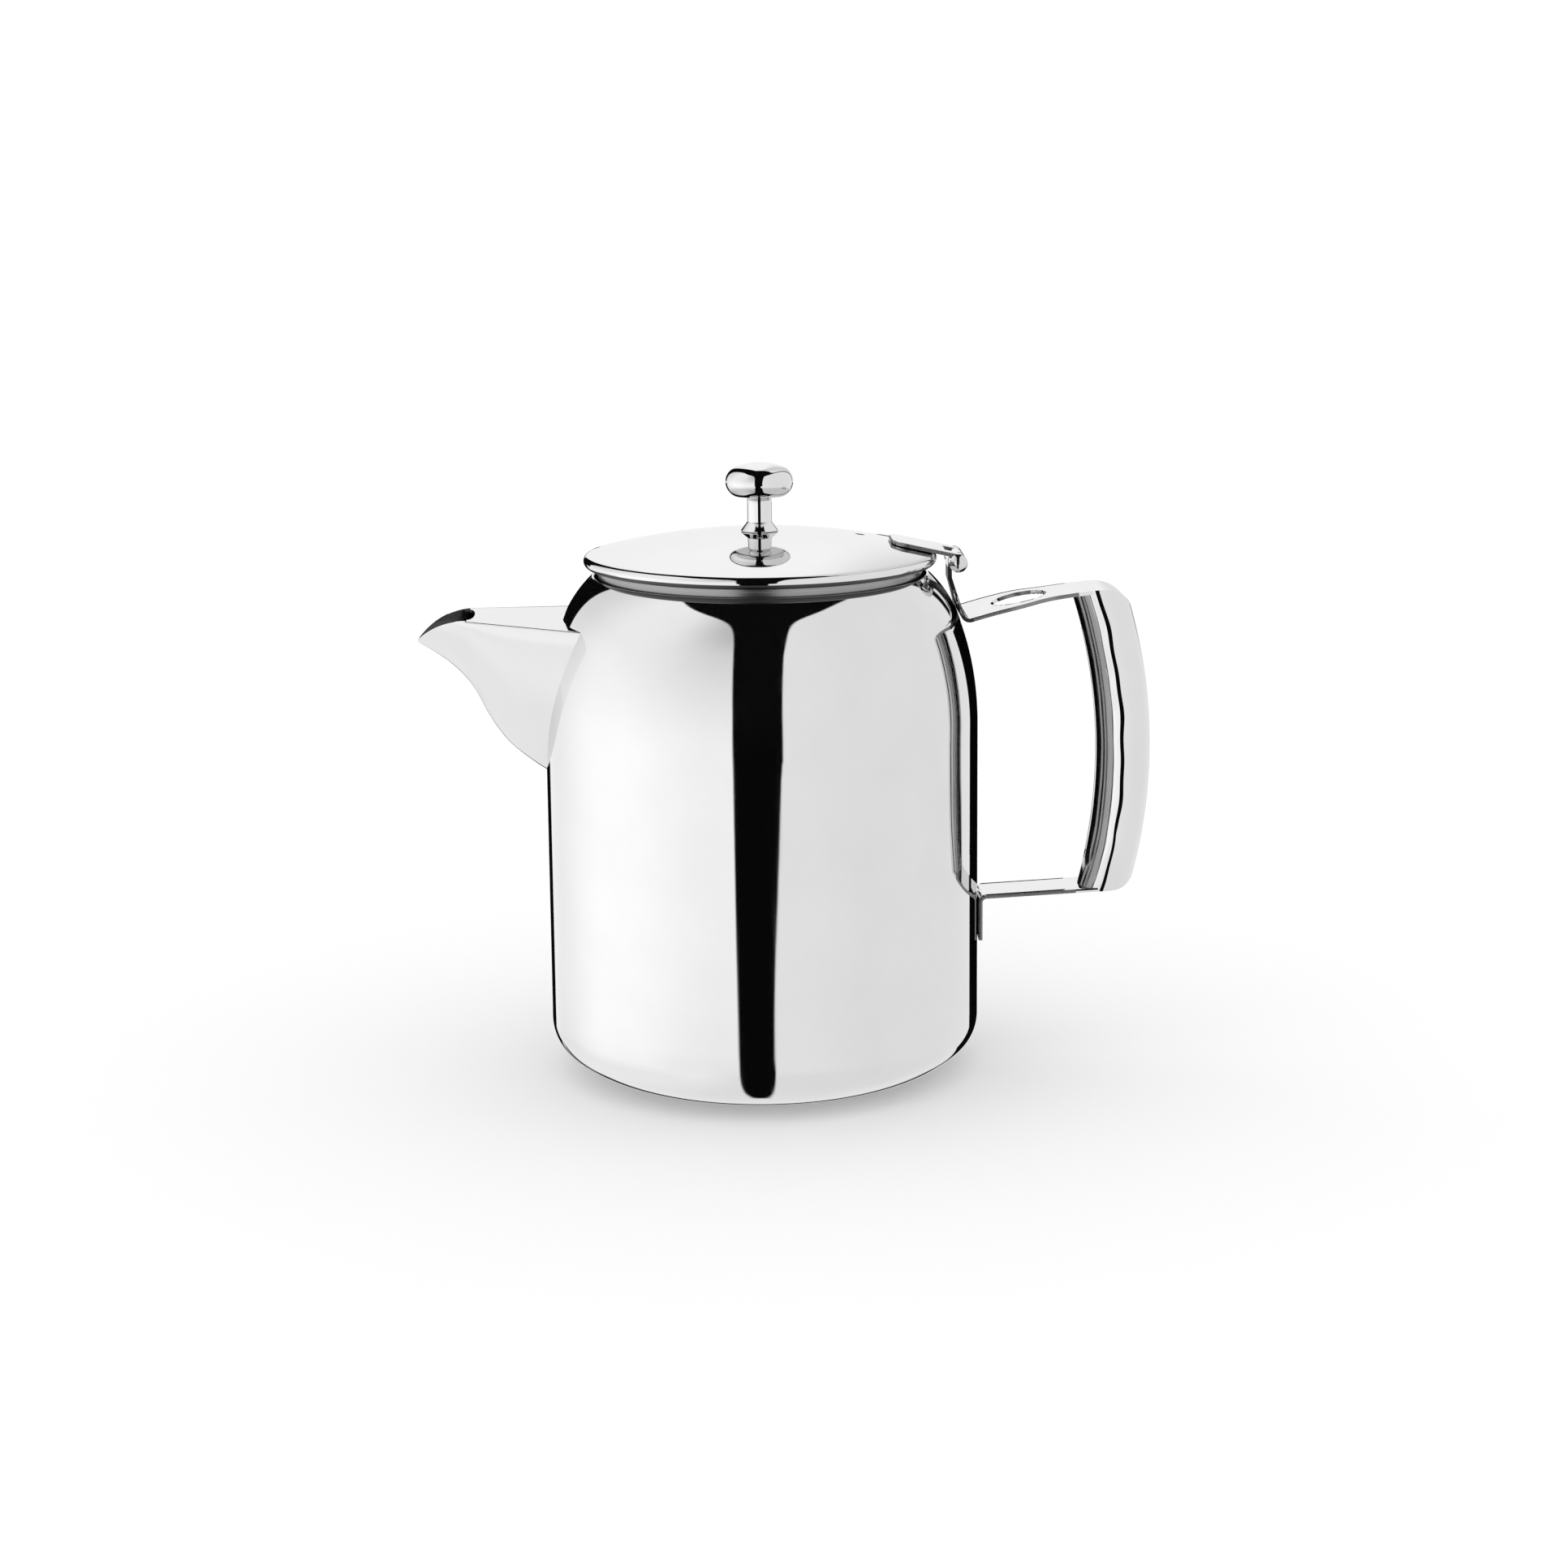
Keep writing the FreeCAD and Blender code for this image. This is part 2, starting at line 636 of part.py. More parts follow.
def build_arm():
    start, centre, below, above = arm_arc()
    reach = dim("arm_end") - centre[0]
    end = (dim("arm_end"), centre[1] + root(below * below - reach * reach))
    end_top = plus(centre, times(minus(end, centre), above / below))
    start_top = plus(centre, times(minus(start, centre), above / below))
    sketch = side_sketch("arm_profile")
    outline(sketch, [
        (start, below, -1),
        (end,),
        (end_top, above, 1),
        (start_top,),
    ])
    strip = extruded("arm_strip", sketch, Vector(0, 1, 0), dim("arm_half") * 2)
    plan = doc.addObject("Sketcher::SketchObject", "arm_plan")
    wide, neck, slim = dim("arm_half"), dim("arm_neck_half"), dim("arm_end_half")
    first, last = dim("arm_taper_start"), dim("arm_taper_end")
    drop = wide - neck
    sweep = ((last - first) * (last - first) + drop * drop) / (drop * 4)
    middle, between = (first + last) / 2, (wide + neck) / 2
    near, far = dim("arm_start") - 8, dim("arm_end") + 8
    outline(plan, [
        ((near, -wide),),
        ((first, -wide), sweep, 1),
        ((middle, -between), sweep, -1),
        ((last, -neck),),
        ((far, -slim),),
        ((far, slim),),
        ((last, neck), sweep, -1),
        ((middle, between), sweep, 1),
        ((first, wide),),
        ((near, wide),),
    ])
    trim = extruded("arm_trim", plan, Vector(0, 0, 1), dim("grip_top") * 3)
    shaped = common("arm_shaped", strip, trim)
    oval = doc.addObject("Part::Ellipse", "slot_edge")
    oval.MajorRadius = 20.0
    oval.setExpression("MinorRadius", "dims.slot_half_length")
    oval.setExpression("MajorRadius", "dims.slot_half_width")
    oval.Placement = Placement(Vector(0, 0, 0), Rotation(Vector(0, 0, 1), 90))
    oval.setExpression("Placement.Base.x", "dims.slot_centre")
    oval.setExpression("Placement.Base.z", "dims.bend_height")
    slot = extruded("slot_cut", oval, Vector(0, 0, 1), dim("arm_half") * 4)
    return cut("arm", shaped, slot)


def lower_arm_line():
    """Start, direction and normal of the underside of the lower arm."""
    first = dim("body_radius") + dim("weld_gap") + dim("tab_bend_round")
    run = (dim("low_arm_end") - first, dim("low_arm_tip") - dim("low_arm_root"))
    along = times(run, as_size(1) / length(run))
    return (first, dim("low_arm_root") - STRIP), along, (-along[1], along[0])


def build_lower_arm():
    sketch = side_sketch("lower_arm_profile")
    inner = dim("body_radius") + dim("weld_gap")
    outer = inner + STRIP
    bend = dim("tab_bend_round")
    tip = dim("low_arm_tip")
    outline(sketch, [
        ((inner, dim("tab_bottom")),),
        ((outer, dim("tab_bottom")),),
        ((outer, dim("low_arm_root") - bend), bend - STRIP, -1),
        ((inner + bend, dim("low_arm_root") - STRIP),),
        ((dim("low_arm_end"), tip - STRIP),),
        ((dim("low_arm_end"), tip),),
        ((inner + bend, dim("low_arm_root")), bend, 1),
        ((inner, dim("low_arm_root") - bend),),
    ])
    return extruded("lower_arm", sketch, Vector(0, 1, 0), dim("tab_half") * 2)


def grip_arcs():
    """Centre and radius of the grip's outer and inner lines."""
    back_round, front_round = dim("grip_back_round"), dim("grip_front_round")
    back = (dim("grip_back") - back_round, dim("grip_back_height"))
    front = (dim("grip_front") - front_round, dim("grip_front_height"))
    return back, back_round, front, front_round


def grip_loft(name, inset):
    """A bowed oval tube through ellipses, run past both ends and drawn inside by inset."""
    back_centre, back_round, front_centre, front_round = grip_arcs()
    levels = [("bottom", -0.17), ("bottom", 0.0), ("bottom", 0.25), ("bottom", 0.5), ("bottom", 0.75),
              ("bottom", 1.0), ("middle", 0.2), ("middle", 0.4), ("middle", 0.6), ("middle", 0.8),
              ("top", 1.0), ("top", 0.67), ("top", 0.33), ("top", 0.0), ("top", -0.25)]
    low = dim("grip_bottom") + dim("grip_bottom_blend")
    high = dim("grip_top") - dim("grip_top_blend")
    ellipses = []
    for number, (end, share) in enumerate(levels):
        blend = math.sin(math.pi / 2 * share)
        if end == "bottom":
            z = dim("grip_bottom") + dim("grip_bottom_blend") * share
            half = dim("grip_bottom_half") * (1 - blend) + dim("grip_half") * blend
        elif end == "top":
            z = dim("grip_top") - dim("grip_top_blend") * share
            half = dim("grip_top_half") * (1 - blend) + dim("grip_half") * blend
        else:
            z = low * (1 - share) + high * share
            half = dim("grip_half")
        lift, fall = z - back_centre[1], z - front_centre[1]
        back = back_centre[0] + root(back_round * back_round - lift * lift)
        front = front_centre[0] + root(front_round * front_round - fall * fall)
        oval = doc.addObject("Part::Ellipse", f"{name}_{number}")
        middle, slim, wide = (back + front) / 2, (back - front) / 2 - inset, half - inset
        turn = 90 if wide.number > slim.number else 0
        major, minor = (wide, slim) if turn else (slim, wide)
        oval.MajorRadius = major.number
        oval.MinorRadius = minor.number
        oval.setExpression("MajorRadius", major.text)
        oval.setExpression("MinorRadius", minor.text)
        oval.Placement = Placement(Vector(0, 0, 0), Rotation(Vector(0, 0, 1), turn))
        oval.setExpression("Placement.Base.x", middle.text)
        oval.setExpression("Placement.Base.z", z.text)
        ellipses.append(oval)
    feature = doc.addObject("Part::Loft", name)
    feature.Sections = ellipses
    feature.Solid = True
    return feature


def grip_corners():
    """Centres of the grip's rounded corners: where the strip leaves each arm for the grip."""
    start, arm_centre, below, above = arm_arc()
    back_centre, back_round, front_centre, front_round = grip_arcs()
    small = dim("grip_top_round")
    arm_reach, back_reach = above - small, back_round - small
    apart = minus(back_centre, arm_centre)
    gap = length(apart)
    along = (arm_reach * arm_reach - back_reach * back_reach + gap * gap) / (gap * 2)
    across = root(arm_reach * arm_reach - along * along)
    upper = plus(arm_centre, times(apart, along / gap))
    upper = plus(upper, times((apart[1], -apart[0]), across / gap))
    low_start, along_arm, off_arm = lower_arm_line()
    small = dim("grip_bottom_round")
    reach = back_round - small
    seat = minus(plus(low_start, times(off_arm, small)), back_centre)
    slide = seat[0] * along_arm[0] + seat[1] * along_arm[1]
    square = seat[0] * seat[0] + seat[1] * seat[1]
    travel = root(slide * slide - square + reach * reach) - slide
    lower = plus(plus(low_start, times(off_arm, small)), times(along_arm, travel))
    named = []
    for end, point in (("top", upper), ("bottom", lower)):
        named.append((derived(f"grip_{end}_corner_x", point[0]), derived(f"grip_{end}_corner_z", point[1])))
    return named


def grip_profile(name, inset, corners):
    """Side view of the grip's ends: each arm's line and the rounded corner that ends it.

    Between the corners it stands clear of the tube, which gives the outer line itself.
    """
    start, arm_centre, below, above = arm_arc()
    back_centre, back_round, front_centre, front_round = grip_arcs()
    low_start, along_arm, off_arm = lower_arm_line()
    upper, lower = corners
    big, small = dim("grip_top_round"), dim("grip_bottom_round")

    def on_arc(centre, radius, corner, corner_round, clear=0.0):
        reach = radius - inset + clear
        return plus(centre, times(minus(corner, centre), reach / (radius - corner_round)))

    left = dim("grip_front") - 15
    reach = left - arm_centre[0]
    outer = above - inset
    left_top = (left, arm_centre[1] + root(outer * outer - reach * reach))
    climb = (left - low_start[0]) * along_arm[1]
    left_low = (left, low_start[1] + (climb + inset) / along_arm[0])
    sketch = side_sketch(name)
    outline(sketch, [
        (left_low,),
        (minus(lower, times(off_arm, small - inset)), small - inset, 1),
        (on_arc(back_centre, back_round, lower, small),),
        (on_arc(back_centre, back_round, lower, small, 0.4), back_round - inset + 0.4, 1),
        (on_arc(back_centre, back_round, upper, big, 0.4),),
        (on_arc(back_centre, back_round, upper, big), big - inset, 1),
        (on_arc(arm_centre, above, upper, big), outer, 1),
        (left_top,),
    ])
    return extruded(f"{name}_bar", sketch, Vector(0, 1, 0), dim("grip_half") * 3)


def build_handle():
    corners = grip_corners()
    outside = grip_loft("grip_outside", ZERO), grip_profile("grip_side", ZERO, corners)
    inside = grip_loft("grip_inside", STRIP), grip_profile("grip_inner", STRIP, corners)
    hollow = cut("grip_hollow", common("grip_solid", *outside), common("grip_core", *inside))
    seam = doc.addObject("Part::Box", "seam_cut")
    seam.setExpression("Length", "18")
    seam.setExpression("Width", "2 * dims.seam_half")
    seam.setExpression("Height", "dims.seam_top - dims.seam_bottom")
    seam.setExpression("Placement.Base.x", "dims.grip_front - 14")
    seam.setExpression("Placement.Base.y", "0 - dims.seam_half")
    seam.setExpression("Placement.Base.z", "dims.seam_bottom")
    grip = cut("grip", hollow, seam)
    roll = pin_line_cylinder("knuckle_roll", knuckle_radius, dim("knuckle_width"))
    joined = fuse("handle_joined", [build_leaf(), build_arm(), build_lower_arm(), grip, roll])
    bore = pin_line_cylinder("knuckle_hole", knuckle_bore, dim("strap_width"))
    handle = cut("handle", joined, bore)
    handle.Label = "handle"
    return handle


# Hinge pin: plain shank with a riveted dome at each end.
def build_hinge_pin():
    body = new_body("hinge_pin")
    sketch = sketch_in(body, "XZ_Plane", "pin_profile")
    half = dim("strap_width") / 2 + dim("weld_gap")
    head, tall = dim("pin_head_radius"), dim("pin_head_height")
    dome = (head * head + tall * tall) / (tall * 2)
    shank = dim("pin_radius")
    outline(sketch, [
        ((ZERO, -half - tall), dome, 1),
        ((head, -half),),
        ((shank, -half),),
        ((shank, half),),
        ((head, half), dome, 1),
        ((ZERO, half + tall),),
    ])
    turned(body, sketch, "pin_turned")
    body.Placement = Placement(Vector(0, 0, 0), Rotation(Vector(1, 0, 0), 90))
    body.setExpression("Placement.Base.x", "dims.pin_x")
    body.setExpression("Placement.Base.z", "dims.pin_z")
    return body


# Lid cover: shallow dome with a rounded edge turned in below.
def build_lid_cover():
    body = new_body("lid_cover")
    sketch = sketch_in(body, "XZ_Plane", "cover_profile")
    dome, edge = dim("dome_round"), dim("lid_edge_round")
    edge_x = dim("lid_radius") - edge
    spread = dome - edge
    edge_z = dome_centre + root(spread * spread - edge_x * edge_x)
    edge_centre = (edge_x, edge_z)
    toward = times((edge_x, edge_z - dome_centre), as_size(1) / spread)
    tail = (dim("ring_radius") + dim("weld_gap"), dim("lid_return_height"))
    to_centre = minus(edge_centre, tail)
    square = to_centre[0] * to_centre[0] + to_centre[1] * to_centre[1]
    tangent = root(square - edge * edge)
    along = tangent * tangent / square
    across = tangent * edge / square
    touch = (
        tail[0] + to_centre[0] * along + to_centre[1] * across,
        tail[1] + to_centre[1] * along - to_centre[0] * across,
    )
    bore = dim("screw_hole_radius")
    shrink = (edge - SHEET) / edge
    touch_in = plus(edge_centre, times(minus(touch, edge_centre), shrink))
    slide = (tail[0] - touch_in[0]) / (tail[0] - touch[0])
    tail_in = plus(touch_in, times(minus(tail, touch), slide))
    inner = dome - SHEET
    outline(sketch, [
        ((bore, dome_centre + root(inner * inner - bore * bore)), inner, -1),
        (plus(edge_centre, times(toward, edge - SHEET)), edge - SHEET, -1),
        (touch_in,),
        (tail_in,),
        (tail,),
        (touch, edge, 1),
        (plus(edge_centre, times(toward, edge)), dome, 1),
        ((bore, dome_centre + root(dome * dome - bore * bore)),),
    ])
    turned(body, sketch, "cover_turned")
    vent = sketch_in(body, "XY_Plane", "vent_profile")
    circle(vent, (dim("vent_out"), dim("vent_side")), dim("vent_radius"))
    cut_through(body, vent, "vent_cut")
    return body


# Plug ring: plain band under the cover that centres the lid in the mouth.
def build_lid_ring():
    body = new_body("lid_ring")
    sketch = sketch_in(body, "XZ_Plane", "ring_profile")
    outer = dim("ring_radius")
    inner = outer - SHEET
    bevel = SHEET / 2
    low, high = dim("ring_bottom"), dim("ring_top")
    outline(sketch, [
        ((inner, low),),
        ((outer - bevel, low),),
        ((outer, low + bevel),),
        ((outer, high),),
        ((inner, high),),
    ])
    turned(body, sketch, "ring_turned")
    return body


# Lid strap: plate welded on the cover, rolled around the pin in two outer knuckles.
def build_lid_strap():
    body = new_body("lid_strap")
    sketch = sketch_in(body, "XZ_Plane", "strap_profile")
    low, high = dim("pin_radius"), strap_outer
    meet = root(high * high - low * low)
    reach = dim("strap_reach")
    outline(sketch, [
        ((-reach, low),),
        ((-meet, low), high, 1),
        ((ZERO, -high), high, 1),
        ((high, ZERO), high, 1),
        ((ZERO, high),),
        ((-reach, high),),
    ])
    circle(sketch, (ZERO, ZERO), dim("pin_radius"))
    plate = body.newObject("PartDesign::Pad", "strap_plate")
    plate.Profile = sketch
    plate.SideType = "Symmetric"
    plate.setExpression("Length", "dims.strap_width")
    body.Tip = plate
    notch = sketch_in(body, "XY_Plane", "notch_profile")
    half = dim("knuckle_width") / 2 + dim("knuckle_side_gap")
    outline(notch, [
        ((-dim("notch_reach"), -half),),
        ((dim("notch_reach"), -half),),
        ((dim("notch_reach"), half),),
        ((-dim("notch_reach"), half),),
    ])
    notched = cut_through(body, notch, "notch_cut")
    doc.recompute()
    corners = []
    for number, edge in enumerate(notched.Shape.Edges, start=1):
        middle = edge.CenterOfMass
        upright = abs(edge.tangentAt(edge.FirstParameter).z) > 0.99
        if upright and middle.x < -reach.number + 0.1:
            corners.append(f"Edge{number}")
    rounded = body.newObject("PartDesign::Fillet", "strap_corners")
    rounded.Base = (notched, corners)
    rounded.setExpression("Radius", "dims.strap_corner")
    body.Tip = rounded
    body.Placement = Placement(Vector(0, 0, 0), Rotation(Vector(0, 1, 0), 1))
    body.setExpression("Placement.Base.x", "dims.pin_x")
    body.setExpression("Placement.Base.z", "dims.pin_z")
    body.setExpression("Placement.Rotation.Angle", "dims.strap_slope")
    return body


# Knob head: turned mushroom, pressed on the spigot of the stem.
def build_knob_head():
    body = new_body("knob_head")
    sketch = sketch_in(body, "XZ_Plane", "head_profile")
    side, top = dim("knob_side_round"), dim("knob_top_round")
    widest = dim("knob_radius")
    height = dim("knob_height")
    centre = (widest - side, height)
    drop = height - dim("knob_under")
    foot = centre[0] + root(side * side - drop * drop)
    spread = top - side
    top_centre = height - root(spread * spread - centre[0] * centre[0])
    blend = (centre[0] * top / spread, top_centre + (height - top_centre) * top / spread)
    hole = dim("spigot_radius")
    outline(sketch, [
        ((hole, dim("knob_under")),),
        ((foot, dim("knob_under")), side, 1),
        ((widest, height), side, 1),
        (blend, top, 1),
        ((ZERO, top_centre + top),),
        ((ZERO, dim("spigot_top")),),
        ((hole, dim("spigot_top")),),
    ])
    turned(body, sketch, "head_turned")
    return body


# Knob stem: turned rod with a cone foot on the lid and a spigot in the head.
def build_knob_stem():
    body = new_body("knob_stem")
    sketch = sketch_in(body, "XZ_Plane", "stem_profile")
    foot = dim("dome_top") + dim("weld_gap")
    outline(sketch, [
        ((dim("screw_radius"), foot),),
        ((dim("flange_radius"), foot),),
        ((dim("flange_radius"), foot + dim("flange_lip")),),
        ((dim("stem_radius"), dim("flange_top")),),
        ((dim("stem_radius"), dim("neck_start")),),
        ((dim("neck_radius"), dim("knob_under")),),
        ((dim("spigot_radius"), dim("knob_under")),),
        ((dim("spigot_radius"), dim("spigot_top")),),
        ((ZERO, dim("spigot_top")),),
        ((ZERO, dim("screw_top")),),
        ((dim("screw_radius"), dim("screw_top")),),
    ])
    turned(body, sketch, "stem_turned")
    return body


# Knob washer: flat ring between the cover and the screw head.
def build_knob_washer():
    body = new_body("knob_washer")
    sketch = sketch_in(body, "XZ_Plane", "washer_profile")
    low = dim("washer_top") - dim("washer_height")
    outline(sketch, [
        ((dim("screw_hole_radius"), low),),
        ((dim("washer_radius"), low),),
        ((dim("washer_radius"), dim("washer_top")),),
        ((dim("screw_hole_radius"), dim("washer_top")),),
    ])
    turned(body, sketch, "washer_turned")
    return body


# Knob screw: slotted screw from below, through washer and cover into the stem.
def build_knob_screw():
    body = new_body("knob_screw")
    sketch = sketch_in(body, "XZ_Plane", "screw_profile")
    seat = dim("washer_top") - dim("washer_height")
    low = seat - dim("screw_head_height")
    bevel = dim("screw_head_height") / 4
    head = dim("screw_head_radius")
    outline(sketch, [
        ((ZERO, low),),
        ((head - bevel, low),),
        ((head, low + bevel),),
        ((head, seat),),
        ((dim("screw_radius"), seat),),
        ((dim("screw_radius"), dim("screw_top")),),
        ((ZERO, dim("screw_top")),),
    ])
    turned(body, sketch, "screw_turned")
    slot = sketch_in(body, "XZ_Plane", "driver_profile")
    half = dim("screw_slot_half")
    outline(slot, [
        ((-half, low - 1),),
        ((half, low - 1),),
        ((half, low + dim("screw_slot_depth")),),
        ((-half, low + dim("screw_slot_depth")),),
    ])
    cut_through(body, slot, "driver_cut")
    return body


PIECES = [
    build_body_shell(),
    build_spout(),
    build_handle(),
    build_hinge_pin(),
    build_lid_cover(),
    build_lid_ring(),
    build_lid_strap(),
    build_knob_head(),
    build_knob_stem(),
    build_knob_washer(),
    build_knob_screw(),
]
doc.recompute()

for item in doc.Objects:
    faults = [state for state in item.State if state in ("Invalid", "Error")]
    if faults:
        raise RuntimeError(f"{item.Label}: {faults}")
for piece in PIECES:
    shape = piece.Shape
    if shape.isNull() or not shape.isValid():
        raise RuntimeError(f"{piece.Label}: shape is not valid")
    if len(shape.Solids) != 1:
        raise RuntimeError(f"{piece.Label}: {len(shape.Solids)} solids")

os.makedirs("parts", exist_ok=True)
for piece in PIECES:
    piece.Shape.exportStep(f"parts/{piece.Label}.step")
    box = piece.Shape.BoundBox
    print(
        f"{piece.Label:12s} volume {piece.Shape.Volume:9.1f}"
        f"  x {box.XMin:7.2f} {box.XMax:7.2f}"
        f"  y {box.YMin:7.2f} {box.YMax:7.2f}"
        f"  z {box.ZMin:7.2f} {box.ZMax:7.2f}"
    )
print("hinge axis height", round(pin_z.number, 4))
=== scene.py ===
import bmesh
import bpy
import math
from mathutils import Matrix, Vector


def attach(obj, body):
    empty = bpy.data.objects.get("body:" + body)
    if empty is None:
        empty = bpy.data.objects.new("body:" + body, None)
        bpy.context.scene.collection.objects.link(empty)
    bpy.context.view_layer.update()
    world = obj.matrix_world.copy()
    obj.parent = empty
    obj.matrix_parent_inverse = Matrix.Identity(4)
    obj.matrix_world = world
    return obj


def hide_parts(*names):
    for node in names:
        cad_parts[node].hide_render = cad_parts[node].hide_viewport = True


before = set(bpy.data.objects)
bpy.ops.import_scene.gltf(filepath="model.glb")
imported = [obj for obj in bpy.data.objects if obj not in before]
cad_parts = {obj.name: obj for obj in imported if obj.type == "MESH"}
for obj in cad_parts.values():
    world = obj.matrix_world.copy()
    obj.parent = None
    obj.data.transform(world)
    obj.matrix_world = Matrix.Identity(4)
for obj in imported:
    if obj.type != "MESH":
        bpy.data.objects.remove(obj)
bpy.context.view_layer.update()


# Body: one sheet of stainless steel drawn to a deep can with a rounded base and a
# shoulder drawn in to the mouth. Mirror-polished outside, fine turned lines inside.
MM = 0.001
SHEET = 0.8
BODY_RADIUS = 58.0
BASE_SIDE_ROUND, BASE_FLOOR_ROUND, BASE_ROUND_HEIGHT = 10.5, 27.0, 14.4
WALL_TOP = 94.8
SHOULDER_ROUND, SHOULDER_JOIN = 85.1, 121.8
NECK_ROUND, RIM_HEIGHT = 31.75, 135.2
INSIDE_FLOOR_TOP = 60.0
SMOOTH_ANGLE = math.radians(32)
MERGE_DISTANCE = 0.000002


def arc(centre, radius, start, stop, count):
    """Points on an arc, from one angle to another, in degrees."""
    points = []
    for step in range(count + 1):
        angle = math.radians(start + (stop - start) * step / count)
        x = centre[0] + radius * math.cos(angle)
        points.append((x, centre[1] + radius * math.sin(angle)))
    return points


def run(start, stop, count):
    """Points on a straight line."""
    points = []
    for step in range(count + 1):
        share = step / count
        x = start[0] + (stop[0] - start[0]) * share
        points.append((x, start[1] + (stop[1] - start[1]) * share))
    return points


def body_arcs():
    """Centres and angles of the four arcs of the body's outer line."""
    side = (BODY_RADIUS - BASE_SIDE_ROUND, BASE_ROUND_HEIGHT)
    spread = BASE_FLOOR_ROUND - BASE_SIDE_ROUND
    drop = BASE_FLOOR_ROUND - BASE_ROUND_HEIGHT
    floor = (side[0] - math.sqrt(spread ** 2 - drop ** 2), BASE_FLOOR_ROUND)
    base_turn = -math.degrees(math.asin(drop / spread))
    shoulder = (BODY_RADIUS - SHOULDER_ROUND, WALL_TOP)
    turn = math.degrees(math.asin((SHOULDER_JOIN - WALL_TOP) / SHOULDER_ROUND))
    reach = SHOULDER_ROUND - NECK_ROUND
    neck = (
        shoulder[0] + reach * math.cos(math.radians(turn)),
        shoulder[1] + reach * math.sin(math.radians(turn)),
    )
    rim_turn = math.degrees(math.asin((RIM_HEIGHT - neck[1]) / NECK_ROUND))
    return side, floor, base_turn, shoulder, turn, neck, rim_turn


def body_line(inset):
    """The body's line from the floor's middle to the rim, drawn inside by inset."""
    side, floor, base_turn, shoulder, turn, neck, rim_turn = body_arcs()
    wall = BODY_RADIUS - inset
    line = run((0, inset), (floor[0], inset), 14)
    line += arc(floor, BASE_FLOOR_ROUND - inset, -90, base_turn, 16)[1:]
    line += arc(side, BASE_SIDE_ROUND - inset, base_turn, 0, 16)[1:]
    line += run((wall, BASE_ROUND_HEIGHT), (wall, WALL_TOP), 20)[1:]
    line += arc(shoulder, SHOULDER_ROUND - inset, 0, turn, 18)[1:]
    line += arc(neck, NECK_ROUND - inset, turn, rim_turn, 18)[1:]
    return line


def drawn_line(name, points):
    """Draw a line through points in millimetres. It is left in edit mode, selected."""
    bpy.ops.object.select_all(action="DESELECT")
    bpy.ops.mesh.primitive_plane_add(size=MM, location=[value * MM for value in points[0]])
    piece = bpy.context.object
    piece.name = name
    bpy.ops.object.mode_set(mode="EDIT")
    bpy.ops.mesh.select_mode(type="VERT")
    bpy.ops.mesh.merge(type="CENTER")
    for before, after in zip(points, points[1:]):
        step = [(b - a) * MM for a, b in zip(before, after)]
        bpy.ops.mesh.extrude_vertices_move(TRANSFORM_OT_translate={"value": step})
    bpy.ops.object.mode_set(mode="OBJECT")
    bpy.ops.object.transform_apply(location=True, rotation=True, scale=True)
    bpy.ops.object.mode_set(mode="EDIT")
    bpy.ops.mesh.select_all(action="SELECT")
    return piece


def close_up(distance=MERGE_DISTANCE):
    """Merge the doubled points of the active piece and turn its faces out."""
    bpy.ops.object.mode_set(mode="EDIT")
    bpy.ops.mesh.select_all(action="SELECT")
    bpy.ops.mesh.remove_doubles(threshold=distance)
    bpy.ops.mesh.normals_make_consistent(inside=False)
    bpy.ops.object.mode_set(mode="OBJECT")


def turned(name, line, turns=192):
    """Draw a line of (radius, height) points and spin it about the upright axis."""
    piece = drawn_line(name, [(radius, 0, height) for radius, height in line])
    bpy.ops.mesh.spin(steps=turns, angle=2 * math.pi, center=(0, 0, 0), axis=(0, 0, 1))
    close_up()
    bpy.ops.object.shade_smooth_by_angle(angle=SMOOTH_ANGLE)
    return piece


def choose(*pieces):
    """Select these pieces alone, the last one active."""
    bpy.ops.object.select_all(action="DESELECT")
    for piece in pieces:
        piece.select_set(True)
    bpy.context.view_layer.objects.active = pieces[-1]


def apply_modifier(piece, label, kind, **settings):
    """Add a modifier with these settings and apply it."""
    choose(piece)
    modifier = piece.modifiers.new(label, kind)
    for setting, value in settings.items():
        setattr(modifier, setting, value)
    bpy.ops.object.modifier_apply(modifier=modifier.name)


def cut_away(piece, cutter):
    """Take the cutter's volume out of the piece and remove the cutter."""
    apply_modifier(piece, "cut", "BOOLEAN", operation="DIFFERENCE", solver="EXACT", object=cutter)
    bpy.data.objects.remove(cutter)


# Effects shared by the steel finishes: the faint unevenness a buffing wheel leaves,
# and the fine lines of turned or brushed metal.
def new_group(name, inputs, outputs):
    """An empty node group with float inputs, given with their values, and outputs."""
    group = bpy.data.node_groups.new(name, "ShaderNodeTree")
    sockets = group.interface
    for label, value in inputs:
        socket = sockets.new_socket(name=label, in_out="INPUT", socket_type="NodeSocketFloat")
        socket.default_value = value
    for label in outputs:
        sockets.new_socket(name=label, in_out="OUTPUT", socket_type="NodeSocketFloat")
    start = group.nodes.new("NodeGroupInput")
    end = group.nodes.new("NodeGroupOutput")
    return group, start, end


